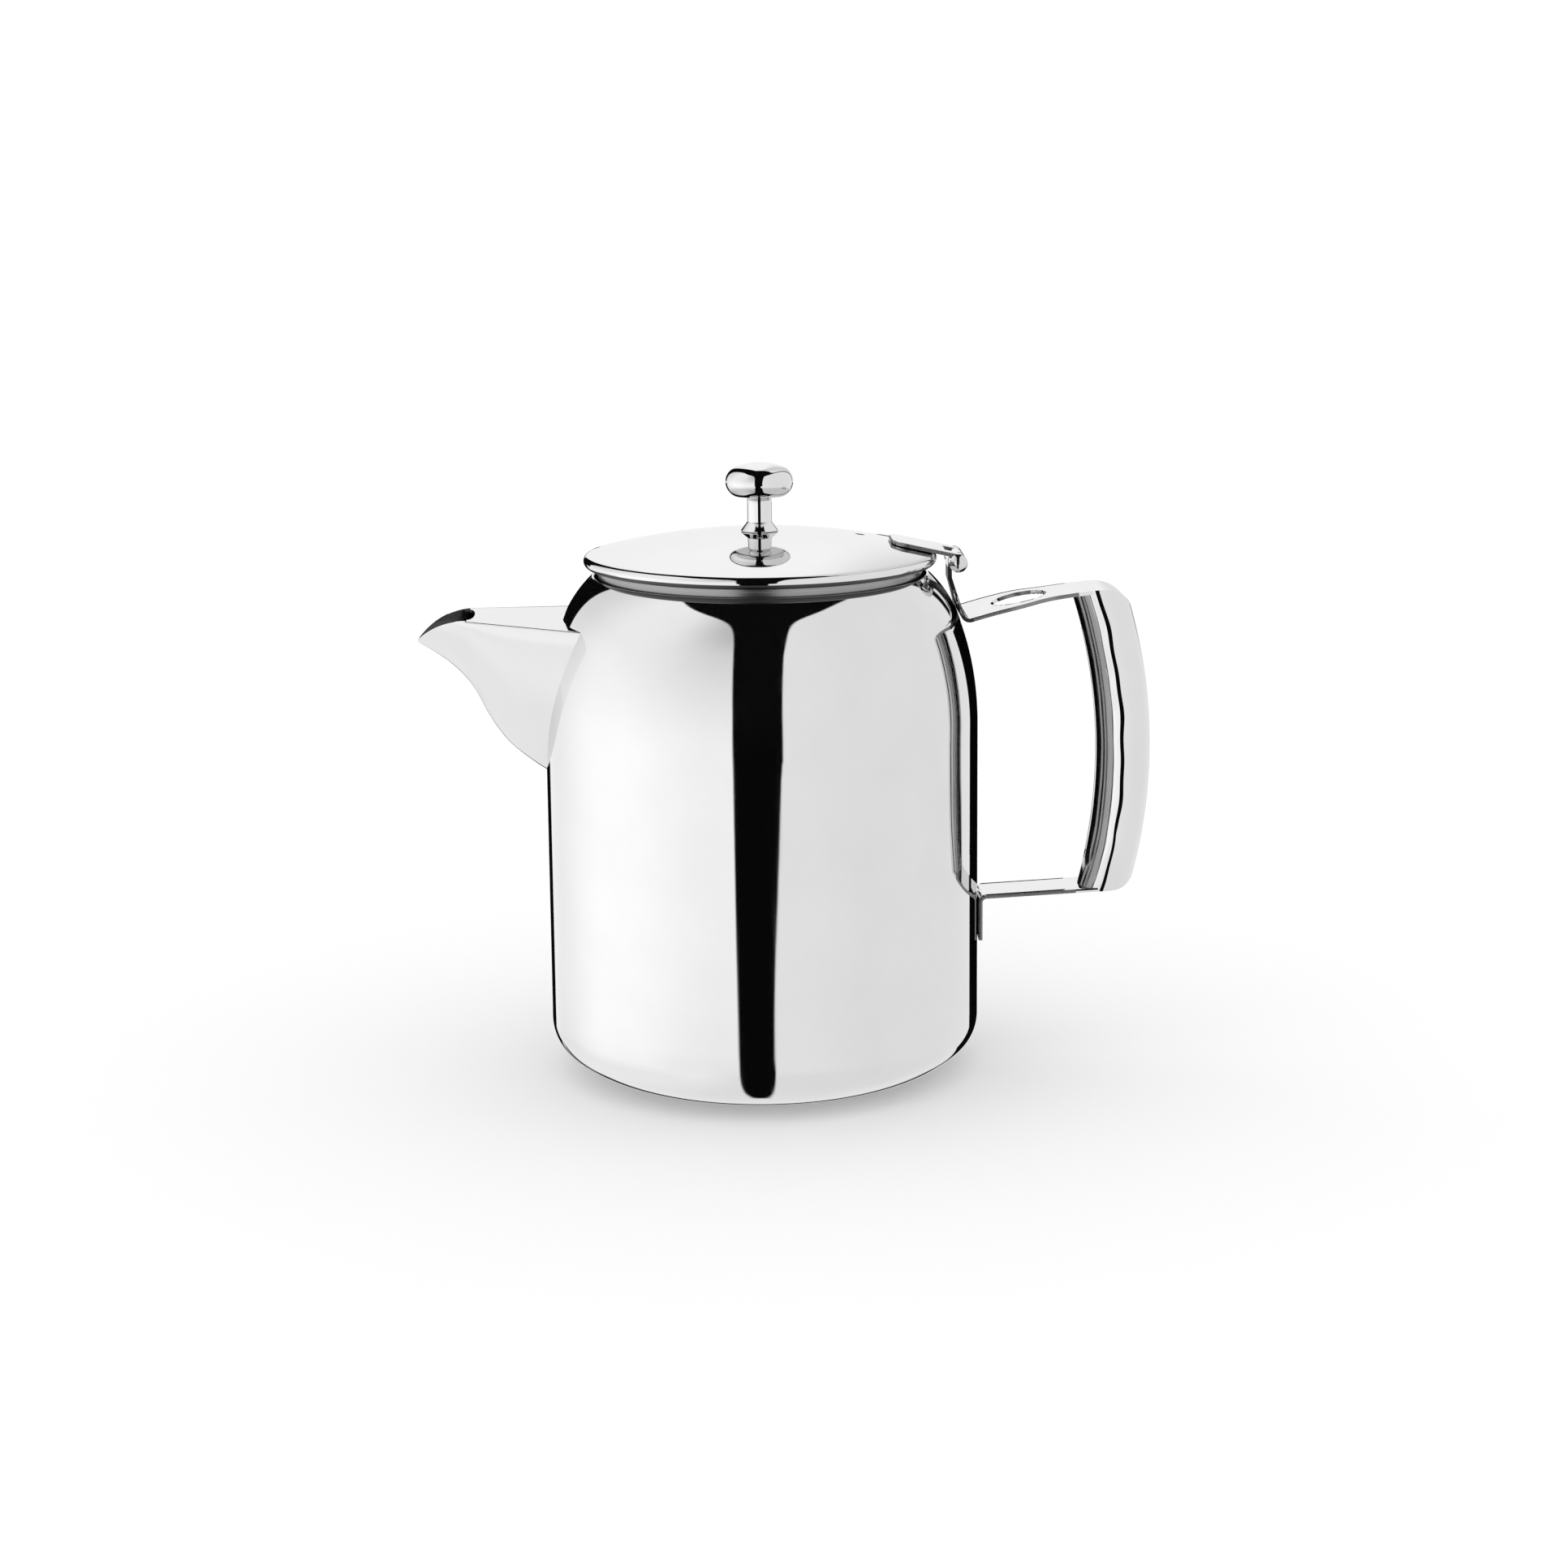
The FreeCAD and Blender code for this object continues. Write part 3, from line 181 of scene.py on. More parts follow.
buffed, buffed_in, buffed_out = new_group(
    "buffed_unevenness", [("Cloud Scale", 60.0), ("Smear Scale", 900.0)], ["Cloud", "Smear"]
)
place = buffed.nodes.new("ShaderNodeTexCoord")
cloud = buffed.nodes.new("ShaderNodeTexNoise")
cloud.inputs["Detail"].default_value = 4.0
cloud.inputs["Roughness"].default_value = 0.55
stretch = buffed.nodes.new("ShaderNodeMapping")
stretch.inputs["Scale"].default_value = (1.0, 1.0, 0.06)
smear = buffed.nodes.new("ShaderNodeTexNoise")
smear.inputs["Detail"].default_value = 3.0
for source, target in (
    (place.outputs["Object"], cloud.inputs["Vector"]),
    (place.outputs["Object"], stretch.inputs["Vector"]),
    (stretch.outputs["Vector"], smear.inputs["Vector"]),
    (buffed_in.outputs["Cloud Scale"], cloud.inputs["Scale"]),
    (buffed_in.outputs["Smear Scale"], smear.inputs["Scale"]),
    (cloud.outputs["Fac"], buffed_out.inputs["Cloud"]),
    (smear.outputs["Fac"], buffed_out.inputs["Smear"]),
):
    buffed.links.new(source, target)

lined, lined_in, lined_out = new_group("turned_lines", [("Lines", 2400.0)], ["Line"])
place = lined.nodes.new("ShaderNodeTexCoord")
level = lined.nodes.new("ShaderNodeVectorMath")
level.operation = "MULTIPLY"
level.inputs[1].default_value = (1.0, 1.0, 0.0)
from_axis = lined.nodes.new("ShaderNodeVectorMath")
from_axis.operation = "LENGTH"
split = lined.nodes.new("ShaderNodeSeparateXYZ")
across = lined.nodes.new("ShaderNodeCombineXYZ")
line_noise = lined.nodes.new("ShaderNodeTexNoise")
line_noise.inputs["Detail"].default_value = 2.0
for source, target in (
    (place.outputs["Object"], level.inputs[0]),
    (place.outputs["Object"], split.inputs["Vector"]),
    (level.outputs["Vector"], from_axis.inputs[0]),
    (from_axis.outputs["Value"], across.inputs["X"]),
    (split.outputs["Z"], across.inputs["Y"]),
    (across.outputs["Vector"], line_noise.inputs["Vector"]),
    (lined_in.outputs["Lines"], line_noise.inputs["Scale"]),
    (line_noise.outputs["Fac"], lined_out.inputs["Line"]),
):
    lined.links.new(source, target)

NOISE_LOW, NOISE_HIGH = 0.3, 0.7
BUFFED_RELIEF, LINE_RELIEF = 0.0004, 0.0001


def grey(level):
    return (level, level, level)


def steel_finish(name, group, shade, gloss, relief, dark, light, smooth, dull, ripple):
    """Steel whose colour, gloss and relief follow the outputs of a shared effect."""
    material = bpy.data.materials.new(name)
    material.use_nodes = True
    tree = material.node_tree
    shader = tree.nodes["Principled BSDF"]
    shader.inputs["Metallic"].default_value = 1.0
    effect = tree.nodes.new("ShaderNodeGroup")
    effect.node_tree = group
    tint = tree.nodes.new("ShaderNodeMix")
    tint.data_type = "RGBA"
    tint.inputs["A"].default_value = (*dark, 1)
    tint.inputs["B"].default_value = (*light, 1)
    roughness = tree.nodes.new("ShaderNodeMapRange")
    roughness.inputs["From Min"].default_value = NOISE_LOW
    roughness.inputs["From Max"].default_value = NOISE_HIGH
    roughness.inputs["To Min"].default_value = smooth
    roughness.inputs["To Max"].default_value = dull
    bump = tree.nodes.new("ShaderNodeBump")
    bump.inputs["Strength"].default_value = ripple
    bump.inputs["Distance"].default_value = relief
    for source, target in (
        (effect.outputs[shade], tint.inputs["Factor"]),
        (tint.outputs["Result"], shader.inputs["Base Color"]),
        (effect.outputs[gloss], roughness.inputs["Value"]),
        (roughness.outputs["Result"], shader.inputs["Roughness"]),
        (effect.outputs[shade], bump.inputs["Height"]),
        (bump.outputs["Normal"], shader.inputs["Normal"]),
    ):
        tree.links.new(source, target)
    return material, effect


def polished_finish(name, dark, light, **gloss):
    """Mirror-polished steel: colour and gloss drift a little, as buffing leaves them."""
    looks = (name, buffed, "Cloud", "Smear", BUFFED_RELIEF, dark, light)
    return steel_finish(*looks, **gloss)[0]


def lined_finish(name, dark, light, lines, **gloss):
    """Turned or brushed steel: fine lines in colour, gloss and relief. Its darkest uses are
    painted shade and painted reflection.
    """
    looks = (name, lined, "Line", "Line", LINE_RELIEF, dark, light)
    material, effect = steel_finish(*looks, **gloss)
    effect.inputs["Lines"].default_value = lines
    return material


def dress(piece, *finishes):
    """Give a piece its finishes, the first one on all its faces."""
    piece.data.materials.clear()
    for finish in finishes:
        piece.data.materials.append(finish)


body_polish = polished_finish(
    "body_polish", grey(0.68), grey(0.74), smooth=0.02, dull=0.05, ripple=0.01
)
inside_turned = lined_finish(
    "inside_turned", (0.56, 0.56, 0.555), (0.68, 0.68, 0.675),
    lines=2400.0, smooth=0.2, dull=0.34, ripple=0.25,
)

outer = body_line(0)
inner = body_line(SHEET)
edge_middle = ((outer[-1][0] + inner[-1][0]) / 2, (outer[-1][1] + inner[-1][1]) / 2)
edge_angle = math.degrees(
    math.atan2(outer[-1][1] - edge_middle[1], outer[-1][0] - edge_middle[0])
)
rim_edge = arc(edge_middle, SHEET / 2, edge_angle, edge_angle + 180, 8)[1:-1]
rim_edge = [(radius, min(height, RIM_HEIGHT)) for radius, height in rim_edge]
body = turned("body_shell_polished", outer + rim_edge + inner[::-1])
dress(body, body_polish, inside_turned)
INWARD = -0.0000001
for face in body.data.polygons:
    outward = face.normal.x * face.center.x + face.normal.y * face.center.y
    height = face.center.z / MM
    on_floor = face.normal.z > 0.5 and SHEET / 2 < height < INSIDE_FLOOR_TOP
    if outward < INWARD or on_floor:
        face.material_index = 1

# Pouring port: one opening cut through the wall behind the spout.
PORT_TOP, PORT_BOTTOM, PORT_HALF = 119.0, 89.0, 15.0
PORT_OUT, PORT_DEPTH = 70.0, 40.0
low_half, sag = PORT_HALF * 0.45, PORT_HALF * 0.5
low_round = (low_half ** 2 + sag ** 2) / (2 * sag)
sweep = math.degrees(math.asin(low_half / low_round))
port_line = [(-PORT_HALF, PORT_TOP)]
port_line += arc((0, PORT_BOTTOM + low_round), low_round, -90 - sweep, -90 + sweep, 16)
port_line += [(PORT_HALF, PORT_TOP)]
port = drawn_line("port_cutter", [(-PORT_OUT, y, z) for y, z in port_line])
bpy.ops.mesh.edge_face_add()
bpy.ops.mesh.extrude_region_move(TRANSFORM_OT_translate={"value": (PORT_DEPTH * MM, 0, 0)})
close_up()
cut_away(body, port)
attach(body, "pot")
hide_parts("body_shell")


# Spout: one folded sheet of stainless steel with a flat top plate, full sides and a
# rounded keel, open at the lip and welded over the pouring port.
LIP_START, LIP_START_HEIGHT = 77.9, 125.25
LIP_END, LIP_END_HEIGHT = 92.4, 117.55
LIP_ROUND = 18.0
LIP_BITE, LIP_BITE_HALF = 1.7, 8.6
TIP = 91.4
PLATE_HEIGHT, PLATE_RISE = 121.3, 0.05
SIDE_FULLNESS, SIDE_POWER = 0.12, 2.1
ROOT_NEAREST, ROOT_FURTHEST, ROOT_DEPTH = 42.0, 62.0, 0.25
SPOUT_ROWS, LIP_ROWS = 40, 24
SPOUT_MERGE = 0.00001
FOLD_ROUND = 0.45
# Distance from the body's axis, half width of the top, height of the keel.
STATIONS = [
    (42.0, 25.4, 75.0), (50.0, 22.4, 78.8), (57.4, 19.6, 82.5), (62.1, 17.8, 85.7),
    (67.5, 15.8, 90.3), (71.0, 14.5, 94.8), (73.7, 13.5, 99.3), (75.9, 12.7, 103.9),
    (78.9, 11.5, 108.3), (83.1, 9.7, 112.5), (87.4, 7.3, 115.6), (91.4, 4.2, 118.0),
]


def spout_size(reach, column):
    """Half width (column 1) or keel height (column 2) at a distance from the axis."""
    last = len(STATIONS) - 1
    spot = max(i for i in range(last) if STATIONS[i][0] <= reach or i == 0)
    a, b = STATIONS[spot], STATIONS[spot + 1]
    before = STATIONS[max(spot - 1, 0)]
    after = STATIONS[min(spot + 2, last)]
    gap = b[0] - a[0]
    share = (reach - a[0]) / gap
    slope_a = (b[column] - before[column]) / (b[0] - before[0])
    slope_b = (after[column] - a[column]) / (after[0] - a[0])
    square, cube = share ** 2, share ** 3
    return (
        (2 * cube - 3 * square + 1) * a[column] + (cube - 2 * square + share) * gap * slope_a
        + (3 * square - 2 * cube) * b[column] + (cube - square) * gap * slope_b
    )


def plate_height(reach):
    return PLATE_HEIGHT + PLATE_RISE * reach


def side_rise(share):
    """How high the side stands at a share of the way from keel to top edge."""
    return (1 + SIDE_FULLNESS) * share ** SIDE_POWER / (share + SIDE_FULLNESS)


def halve(low, high, is_low):
    """Close in, by halves, on the place where is_low stops being true."""
    for _ in range(40):
        middle = (low + high) / 2
        low, high = (middle, high) if is_low(middle) else (low, middle)
    return low


def lip_height(reach):
    """Height of the lip's curved edge, seen from the side."""
    chord = Vector((LIP_END - LIP_START, LIP_END_HEIGHT - LIP_START_HEIGHT))
    depth = math.sqrt(LIP_ROUND ** 2 - (chord.length / 2) ** 2)
    inward = Vector((chord.y, -chord.x)).normalized()
    middle = Vector((LIP_START, LIP_START_HEIGHT)) + chord / 2 + inward * depth
    return middle.y + math.sqrt(max(LIP_ROUND ** 2 - (reach - middle.x) ** 2, 0))


def open_share(reach):
    """Share of the side that stands below the lip."""
    if reach <= LIP_START:
        return 1.0
    keel = spout_size(reach, 2)
    edge = (lip_height(reach) - keel) / (plate_height(reach) - keel)
    return 1.0 if edge >= 1 else halve(0.0, 1.0, lambda share: side_rise(share) < edge)


def side_point(reach, share):
    part = abs(share) * open_share(reach)
    keel = spout_size(reach, 2)
    width = math.copysign(spout_size(reach, 1) * math.sin(math.pi / 2 * part), share)
    return Vector((-reach, width, keel + (plate_height(reach) - keel) * side_rise(part)))


def plate_point(reach, share):
    return Vector((-reach, spout_size(reach, 1) * share, plate_height(reach)))


def plate_end(share):
    """Where the top plate ends: straight, with a rounded bite at the lip's back."""
    across = abs(share) * spout_size(LIP_START, 1)
    if across >= LIP_BITE_HALF:
        return LIP_START
    return LIP_START - LIP_BITE * math.sqrt(1 - (across / LIP_BITE_HALF) ** 2)


def body_radius_at(height):
    """Outside radius of the body at a height, in millimetres."""
    if height <= WALL_TOP:
        return BODY_RADIUS
    _, _, _, shoulder, _, neck, _ = body_arcs()
    on_shoulder = height < SHOULDER_JOIN
    centre, radius = (shoulder, SHOULDER_ROUND) if on_shoulder else (neck, NECK_ROUND)
    lift = min(height - centre[1], radius)
    return centre[0] + math.sqrt(radius ** 2 - lift ** 2)


def root_reach(surface, share):
    """Where a lengthwise line of the spout goes into the body's wall."""
    def inside(reach):
        point = surface(reach, share)
        return math.hypot(point.x, point.y) < body_radius_at(point.z) - ROOT_DEPTH

    return halve(ROOT_NEAREST, ROOT_FURTHEST, inside)


def grid(name, steps, columns, point_at):
    """A grid whose corners are laid, step by column, on points in millimetres."""
    bpy.ops.object.select_all(action="DESELECT")
    bpy.ops.mesh.primitive_grid_add(x_subdivisions=steps, y_subdivisions=columns, size=2)
    piece = bpy.context.object
    piece.name = name
    bpy.ops.object.mode_set(mode="EDIT")
    mesh = bmesh.from_edit_mesh(piece.data)
    for vertex in mesh.verts:
        step = round((vertex.co.x + 1) / 2 * steps)
        column = round((vertex.co.y + 1) / 2 * columns)
        vertex.co = point_at(step, column) * MM
    bmesh.update_edit_mesh(piece.data)
    bpy.ops.object.mode_set(mode="OBJECT")
    return piece


def spout_panel(name, surface, columns, end, lip_rows):
    """A sheet laid along the spout, from the body to its end and on along the lip."""
    def point_at(row, column):
        share = column / columns * 2 - 1
        begin, stop = root_reach(surface, share), end(share)
        if row <= SPOUT_ROWS:
            return surface(begin + (stop - begin) * row / SPOUT_ROWS, share)
        return surface(stop + (TIP - stop) * (row - SPOUT_ROWS) / lip_rows, share)

    return grid(name, SPOUT_ROWS + lip_rows, columns, point_at)


def join(*pieces):
    """Join pieces into the last one."""
    choose(*pieces)
    bpy.ops.object.join()


spout = spout_panel("spout_polished", side_point, 64, lambda share: LIP_START, LIP_ROWS)
plate = spout_panel("spout_plate", plate_point, 32, plate_end, 0)
join(plate, spout)
close_up(SPOUT_MERGE)
plate_middle = Vector((-65, 0, 124.5)) * MM
nearest = min(spout.data.polygons, key=lambda face: (face.center - plate_middle).length)
if nearest.normal.z < 0:
    bpy.ops.object.mode_set(mode="EDIT")
    bpy.ops.mesh.select_all(action="SELECT")
    bpy.ops.mesh.flip_normals()
    bpy.ops.object.mode_set(mode="OBJECT")
apply_modifier(
    spout, "fold", "BEVEL", limit_method="ANGLE", angle_limit=math.radians(50),
    width=FOLD_ROUND * MM, segments=4,
)
spout_polish = polished_finish(
    "spout_polish", grey(0.66), grey(0.72), smooth=0.03, dull=0.07, ripple=0.02
)
# The spout's inner wall is painted near black: painted shade inside the channel, over fine
# brushed lines.
spout_inside = lined_finish(
    "spout_inside", grey(0.04), grey(0.1), lines=900.0, smooth=0.22, dull=0.36, ripple=0.2
)
dress(spout, spout_polish, spout_inside)
apply_modifier(
    spout, "wall", "SOLIDIFY", thickness=SHEET * MM, offset=-1, use_even_offset=True,
    material_offset=1,
)
bpy.ops.object.shade_smooth_by_angle(angle=SMOOTH_ANGLE)
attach(spout, "pot")
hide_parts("spout")


# Handle: one strip of steel. It is rolled around the hinge pin, runs down to the weld
# at the shoulder, bends out as the upper arm with an oval hole, is rolled up into the
# hollow grip and comes back to the body as the lower arm with a welded tab.
STRIP = 1.05
DEBURRED = 0.12
GAP = 0.03
PIN_X, PIN_Z, PIN_RADIUS = 52.3, 138.1962, 1.3
KNUCKLE_BORE, KNUCKLE_HALF = 1.35, 3.7
LEAF_KNEE, LEAF_OUT = 133.6, 56.0
LEAF_NARROW, LEAF_WIDE, LEAF_FLANK = 134.6, 125.0, 13.0
BEND, BEND_ROUND = Vector((53.2, 122.5)), 2.5
ARM_SLOPE = 0.2845
ARM_START, ARM_END, ARM_ROUND = 57.5, 89.0, 164.0
ARM_HALF, ARM_NECK_HALF, ARM_END_HALF = 13.2, 9.6, 8.96
ARM_TAPER_START, ARM_TAPER_END = 65.0, 80.0
OVAL_CENTRE, OVAL_HALF_LENGTH, OVAL_HALF_WIDTH = (69.1, 0, 127), 7.4, 8.0
HOLE_DEPTH = 20.0


def strip(name, rows, columns, side):
    """A strip through (x, z, half width) rows, thickened to one side."""
    def point_at(row, column):
        x, z, half = rows[row]
        return Vector((x, half * (column / columns * 2 - 1), z))

    piece = grid(name, len(rows) - 1, columns, point_at)
    apply_modifier(
        piece, "metal", "SOLIDIFY", thickness=STRIP * MM, offset=side, use_even_offset=True
    )
    return piece


def soften(piece):
    """Break the sharp edges a little, as deburring does."""
    apply_modifier(
        piece, "deburred", "BEVEL", limit_method="ANGLE", angle_limit=math.radians(40),
        width=DEBURRED * MM, segments=2,
    )
    bpy.ops.object.shade_smooth_by_angle(angle=SMOOTH_ANGLE)


def drill(piece, centre, half_length, half_width, sides):
    """Cut an upright round or oval hole through a piece."""
    bpy.ops.object.select_all(action="DESELECT")
    bpy.ops.mesh.primitive_cylinder_add(vertices=sides, radius=1, depth=HOLE_DEPTH * MM)
    cutter = bpy.context.object
    bpy.ops.object.mode_set(mode="EDIT")
    bpy.ops.transform.resize(value=(half_length * MM, half_width * MM, 1))
    bpy.ops.transform.translate(value=[value * MM for value in centre])
    bpy.ops.object.mode_set(mode="OBJECT")
    cut_away(piece, cutter)


def angle_of(point, middle):
    return math.degrees(math.atan2(point.y - middle.y, point.x - middle.x))


leaf_face = PIN_X - KNUCKLE_BORE - STRIP
leaf_way = (Vector((leaf_face, LEAF_KNEE)) - BEND).normalized()
arm_way = Vector((1, ARM_SLOPE)).normalized()
half_bend = math.acos(leaf_way.dot(arm_way)) / 2
setback = BEND_ROUND / math.tan(half_bend)
leaf_end = BEND + leaf_way * setback
bend_middle = BEND + (leaf_way + arm_way).normalized() * BEND_ROUND / math.sin(half_bend)
leaf_angle = angle_of(leaf_end, bend_middle)
arm_begin = BEND + arm_way * setback
arm_angle = angle_of(arm_begin, bend_middle)
arm_start = BEND + arm_way * ((ARM_START - BEND.x) / arm_way.x)
arm_middle = arm_start - Vector((-arm_way.y, arm_way.x)) * ARM_ROUND
start_angle = angle_of(arm_start, arm_middle)
end_angle = math.degrees(math.acos((ARM_END - arm_middle.x) / ARM_ROUND))
curl = arc((PIN_X, PIN_Z), KNUCKLE_BORE + STRIP, -100, 180, 44)
path = curl + run((leaf_face, PIN_Z), (leaf_face, LEAF_KNEE), 6)[1:]
path += run((leaf_face, LEAF_KNEE), leaf_end, 20)[1:]
path += arc(bend_middle, BEND_ROUND, leaf_angle, arm_angle, 12)[1:]
path += run(arm_begin, arm_start, 4)[1:]
path += arc(arm_middle, ARM_ROUND, start_angle, end_angle, 48)[1:]

flank = Vector((ARM_HALF, LEAF_WIDE)).lerp(Vector((KNUCKLE_HALF, LEAF_NARROW)), 0.5)
flank_run = Vector((LEAF_NARROW - LEAF_WIDE, ARM_HALF - KNUCKLE_HALF))
flank += flank_run.normalized() * math.sqrt(LEAF_FLANK ** 2 - (flank_run.length / 2) ** 2)
taper, drop = ARM_TAPER_END - ARM_TAPER_START, ARM_HALF - ARM_NECK_HALF
taper_round = (taper ** 2 + drop ** 2) / (4 * drop)


def arm_half(x, z):
    """Half width of the leaf and the upper arm at a place on the strip."""
    if x < LEAF_OUT and z > LEAF_NARROW:
        return KNUCKLE_HALF
    if x < LEAF_OUT and z > LEAF_WIDE:
        return flank.x - math.sqrt(LEAF_FLANK ** 2 - (flank.y - z) ** 2)
    if x < ARM_TAPER_START:
        return ARM_HALF
    if x < ARM_TAPER_START + taper / 2:
        fall = taper_round - math.sqrt(taper_round ** 2 - (x - ARM_TAPER_START) ** 2)
        return ARM_HALF - fall
    if x < ARM_TAPER_END:
        rise = taper_round - math.sqrt(taper_round ** 2 - (ARM_TAPER_END - x) ** 2)
        return ARM_NECK_HALF + rise
    share = (x - ARM_TAPER_END) / (ARM_END - ARM_TAPER_END)
    return ARM_NECK_HALF + (ARM_END_HALF - ARM_NECK_HALF) * share


upper = strip("handle_upper", [(x, z, arm_half(x, z)) for x, z in path], 16, 1)
drill(upper, OVAL_CENTRE, OVAL_HALF_LENGTH, OVAL_HALF_WIDTH, 96)
soften(upper)

TAB_BOTTOM, TAB_HALF, TAB_BEND = 34.7, 7.0, 2.2
LOW_ARM_ROOT, LOW_ARM_TIP, LOW_ARM_END = 47.35, 48.9, 92.4
tab_face = BODY_RADIUS + GAP
tab_top = LOW_ARM_ROOT - TAB_BEND
path = run((tab_face, TAB_BOTTOM), (tab_face, tab_top), 12)
path += arc((tab_face + TAB_BEND, tab_top), TAB_BEND, 180, 90, 12)[1:]
path += run((tab_face + TAB_BEND, LOW_ARM_ROOT), (LOW_ARM_END, LOW_ARM_TIP), 24)[1:]
lower = strip("handle_lower", [(x, z, TAB_HALF) for x, z in path], 12, -1)
soften(lower)

GRIP_BACK, GRIP_BACK_HEIGHT, GRIP_BACK_ROUND = 104.9, 86.0, 142.0
GRIP_FRONT, GRIP_FRONT_HEIGHT, GRIP_FRONT_ROUND = 90.3, 85.0, 144.0
GRIP_TOP, GRIP_TOP_ROUND, GRIP_TOP_HALF, GRIP_TOP_BLEND = 130.6, 9.4, 9.3, 14.0
GRIP_BOTTOM, GRIP_BOTTOM_ROUND = 48.0, 6.5
GRIP_BOTTOM_HALF, GRIP_BOTTOM_BLEND = 7.15, 18.0
GRIP_HALF, GRIP_WIDEST = 9.6, 0.445
SEAM_BOTTOM, SEAM_TOP, SEAM_HALF, SEAM_DEPTH = 56.0, 119.0, 0.6, 3.4
SEAM_LIP = 0.4
GRIP_ROWS, SIDE_COLUMNS, CAP_COLUMNS = 110, 46, 20


def grip_front_at(height):
    """The line of the grip that faces the body."""
    reach = math.sqrt(GRIP_FRONT_ROUND ** 2 - (height - GRIP_FRONT_HEIGHT) ** 2)
    return GRIP_FRONT - GRIP_FRONT_ROUND + reach


def grip_point(height, angle):
    """A point on the bowed oval tube, a little uneven from rolling, run on past both ends."""
    back = back_middle.x + math.sqrt(GRIP_BACK_ROUND ** 2 - (height - GRIP_BACK_HEIGHT) ** 2)
    front = grip_front_at(height)
    half = GRIP_HALF
    for share, slim in (
        ((GRIP_TOP - height) / GRIP_TOP_BLEND, GRIP_TOP_HALF),
        ((height - GRIP_BOTTOM) / GRIP_BOTTOM_BLEND, GRIP_BOTTOM_HALF),
    ):
        if share < 1:
            half = slim + (GRIP_HALF - slim) * math.sin(math.pi / 2 * share)
    uneven = 0.012 * math.sin(height / 3.7) + 0.009 * math.sin(height / 1.9 + 1)
    widest = front + (back - front) * (GRIP_WIDEST + uneven)
    reach = (back if math.cos(angle) > 0 else front) - widest
    return Vector((widest + reach * abs(math.cos(angle)), half * math.sin(angle), height))


# The rounded corners of the grip: the upper one runs out of the upper arm, the lower one
# out of the lower arm, and both run into the grip's back.
back_middle = Vector((GRIP_BACK - GRIP_BACK_ROUND, GRIP_BACK_HEIGHT))
arm_outer = ARM_ROUND + STRIP
arm_reach, back_reach = arm_outer - GRIP_TOP_ROUND, GRIP_BACK_ROUND - GRIP_TOP_ROUND
apart = back_middle - arm_middle
along = (arm_reach ** 2 - back_reach ** 2 + apart.length ** 2) / (2 * apart.length)
top_corner = arm_middle + apart.normalized() * along
top_corner += Vector((apart.y, -apart.x)).normalized() * math.sqrt(arm_reach ** 2 - along ** 2)
top_touch = arm_middle.x + (top_corner.x - arm_middle.x) * arm_outer / arm_reach
low_start = Vector((tab_face + TAB_BEND, LOW_ARM_ROOT - STRIP))
low_way = Vector((LOW_ARM_END, LOW_ARM_TIP - STRIP)) - low_start
low_rise = low_way.y / low_way.x
low_way.normalize()
seat = low_start + Vector((-low_way.y, low_way.x)) * GRIP_BOTTOM_ROUND - back_middle
slide = seat.dot(low_way)
back_reach = GRIP_BACK_ROUND - GRIP_BOTTOM_ROUND
travel = math.sqrt(slide ** 2 - seat.length_squared + back_reach ** 2) - slide
low_corner = back_middle + seat + low_way * travel
low_touch = low_corner.x + low_way.y * GRIP_BOTTOM_ROUND


def grip_top_at(x):
    """Height of the grip's upper end: the arm's line, then the rounded corner."""
    if x < top_touch:
        return arm_middle.y + math.sqrt(arm_outer ** 2 - (x - arm_middle.x) ** 2)
    return top_corner.y + math.sqrt(max(GRIP_TOP_ROUND ** 2 - (x - top_corner.x) ** 2, 0))


def grip_bottom_at(x):
    """Height of the grip's lower end: the lower arm's line, then the rounded corner."""
    if x < low_touch:
        return low_start.y + (x - low_start.x) * low_rise
    return low_corner.y - math.sqrt(max(GRIP_BOTTOM_ROUND ** 2 - (x - low_corner.x) ** 2, 0))


def grip_end(angle, edge_at, inside, outside):
    """Height where a lengthwise line of the tube meets one of its ends."""
    def within(height):
        past = height - edge_at(grip_point(height, angle).x)
        return past * (outside - inside) <= 0

    return halve(inside, outside, within)


# Lengthwise lines of the tube, each with how deep it dips where the seam is open.
lip = math.asin((SEAM_HALF + SEAM_LIP) / GRIP_HALF)
side_lines = [((math.pi - lip) * step / SIDE_COLUMNS, 0.0) for step in range(SIDE_COLUMNS + 1)]
for across, dip in ((0.12, 0.08), (0.0, 0.3), (0.0, SEAM_DEPTH)):
    side_lines.append((math.pi - math.asin((SEAM_HALF + across) / GRIP_HALF), dip))
grip_lines = side_lines + [(math.pi, SEAM_DEPTH)]
grip_lines += [(2 * math.pi - angle, dip) for angle, dip in side_lines[::-1]]
grip_ends = []
for angle, dip in grip_lines:
    bottom = grip_end(angle, grip_bottom_at, 60, 44)
    grip_ends.append((bottom, grip_end(angle, grip_top_at, 115, 134)))


def tube_point(number, row):
    """A point on a lengthwise line of the tube, sunk in where the seam is open."""
    angle, dip = grip_lines[number]
    bottom, top = grip_ends[number]
    point = grip_point(bottom + (top - bottom) * row / GRIP_ROWS, angle)
    if SEAM_BOTTOM < point.z < SEAM_TOP:
        point.x += dip
    return point


def grip_cap(name, end):
    """The closed lower (0) or upper (1) end of the tube."""
    def point_at(number, column):
        point = grip_point(grip_ends[number][end], grip_lines[number][0])
        point.y *= column / CAP_COLUMNS * 2 - 1
        return point

    return grid(name, len(side_lines), CAP_COLUMNS, point_at)


grip = grid("handle_polished", len(grip_lines) - 1, GRIP_ROWS, tube_point)
join(grip_cap("grip_lower_end", 0), grip_cap("grip_upper_end", 1), grip)
close_up()
bpy.ops.object.shade_smooth_by_angle(angle=math.radians(35))

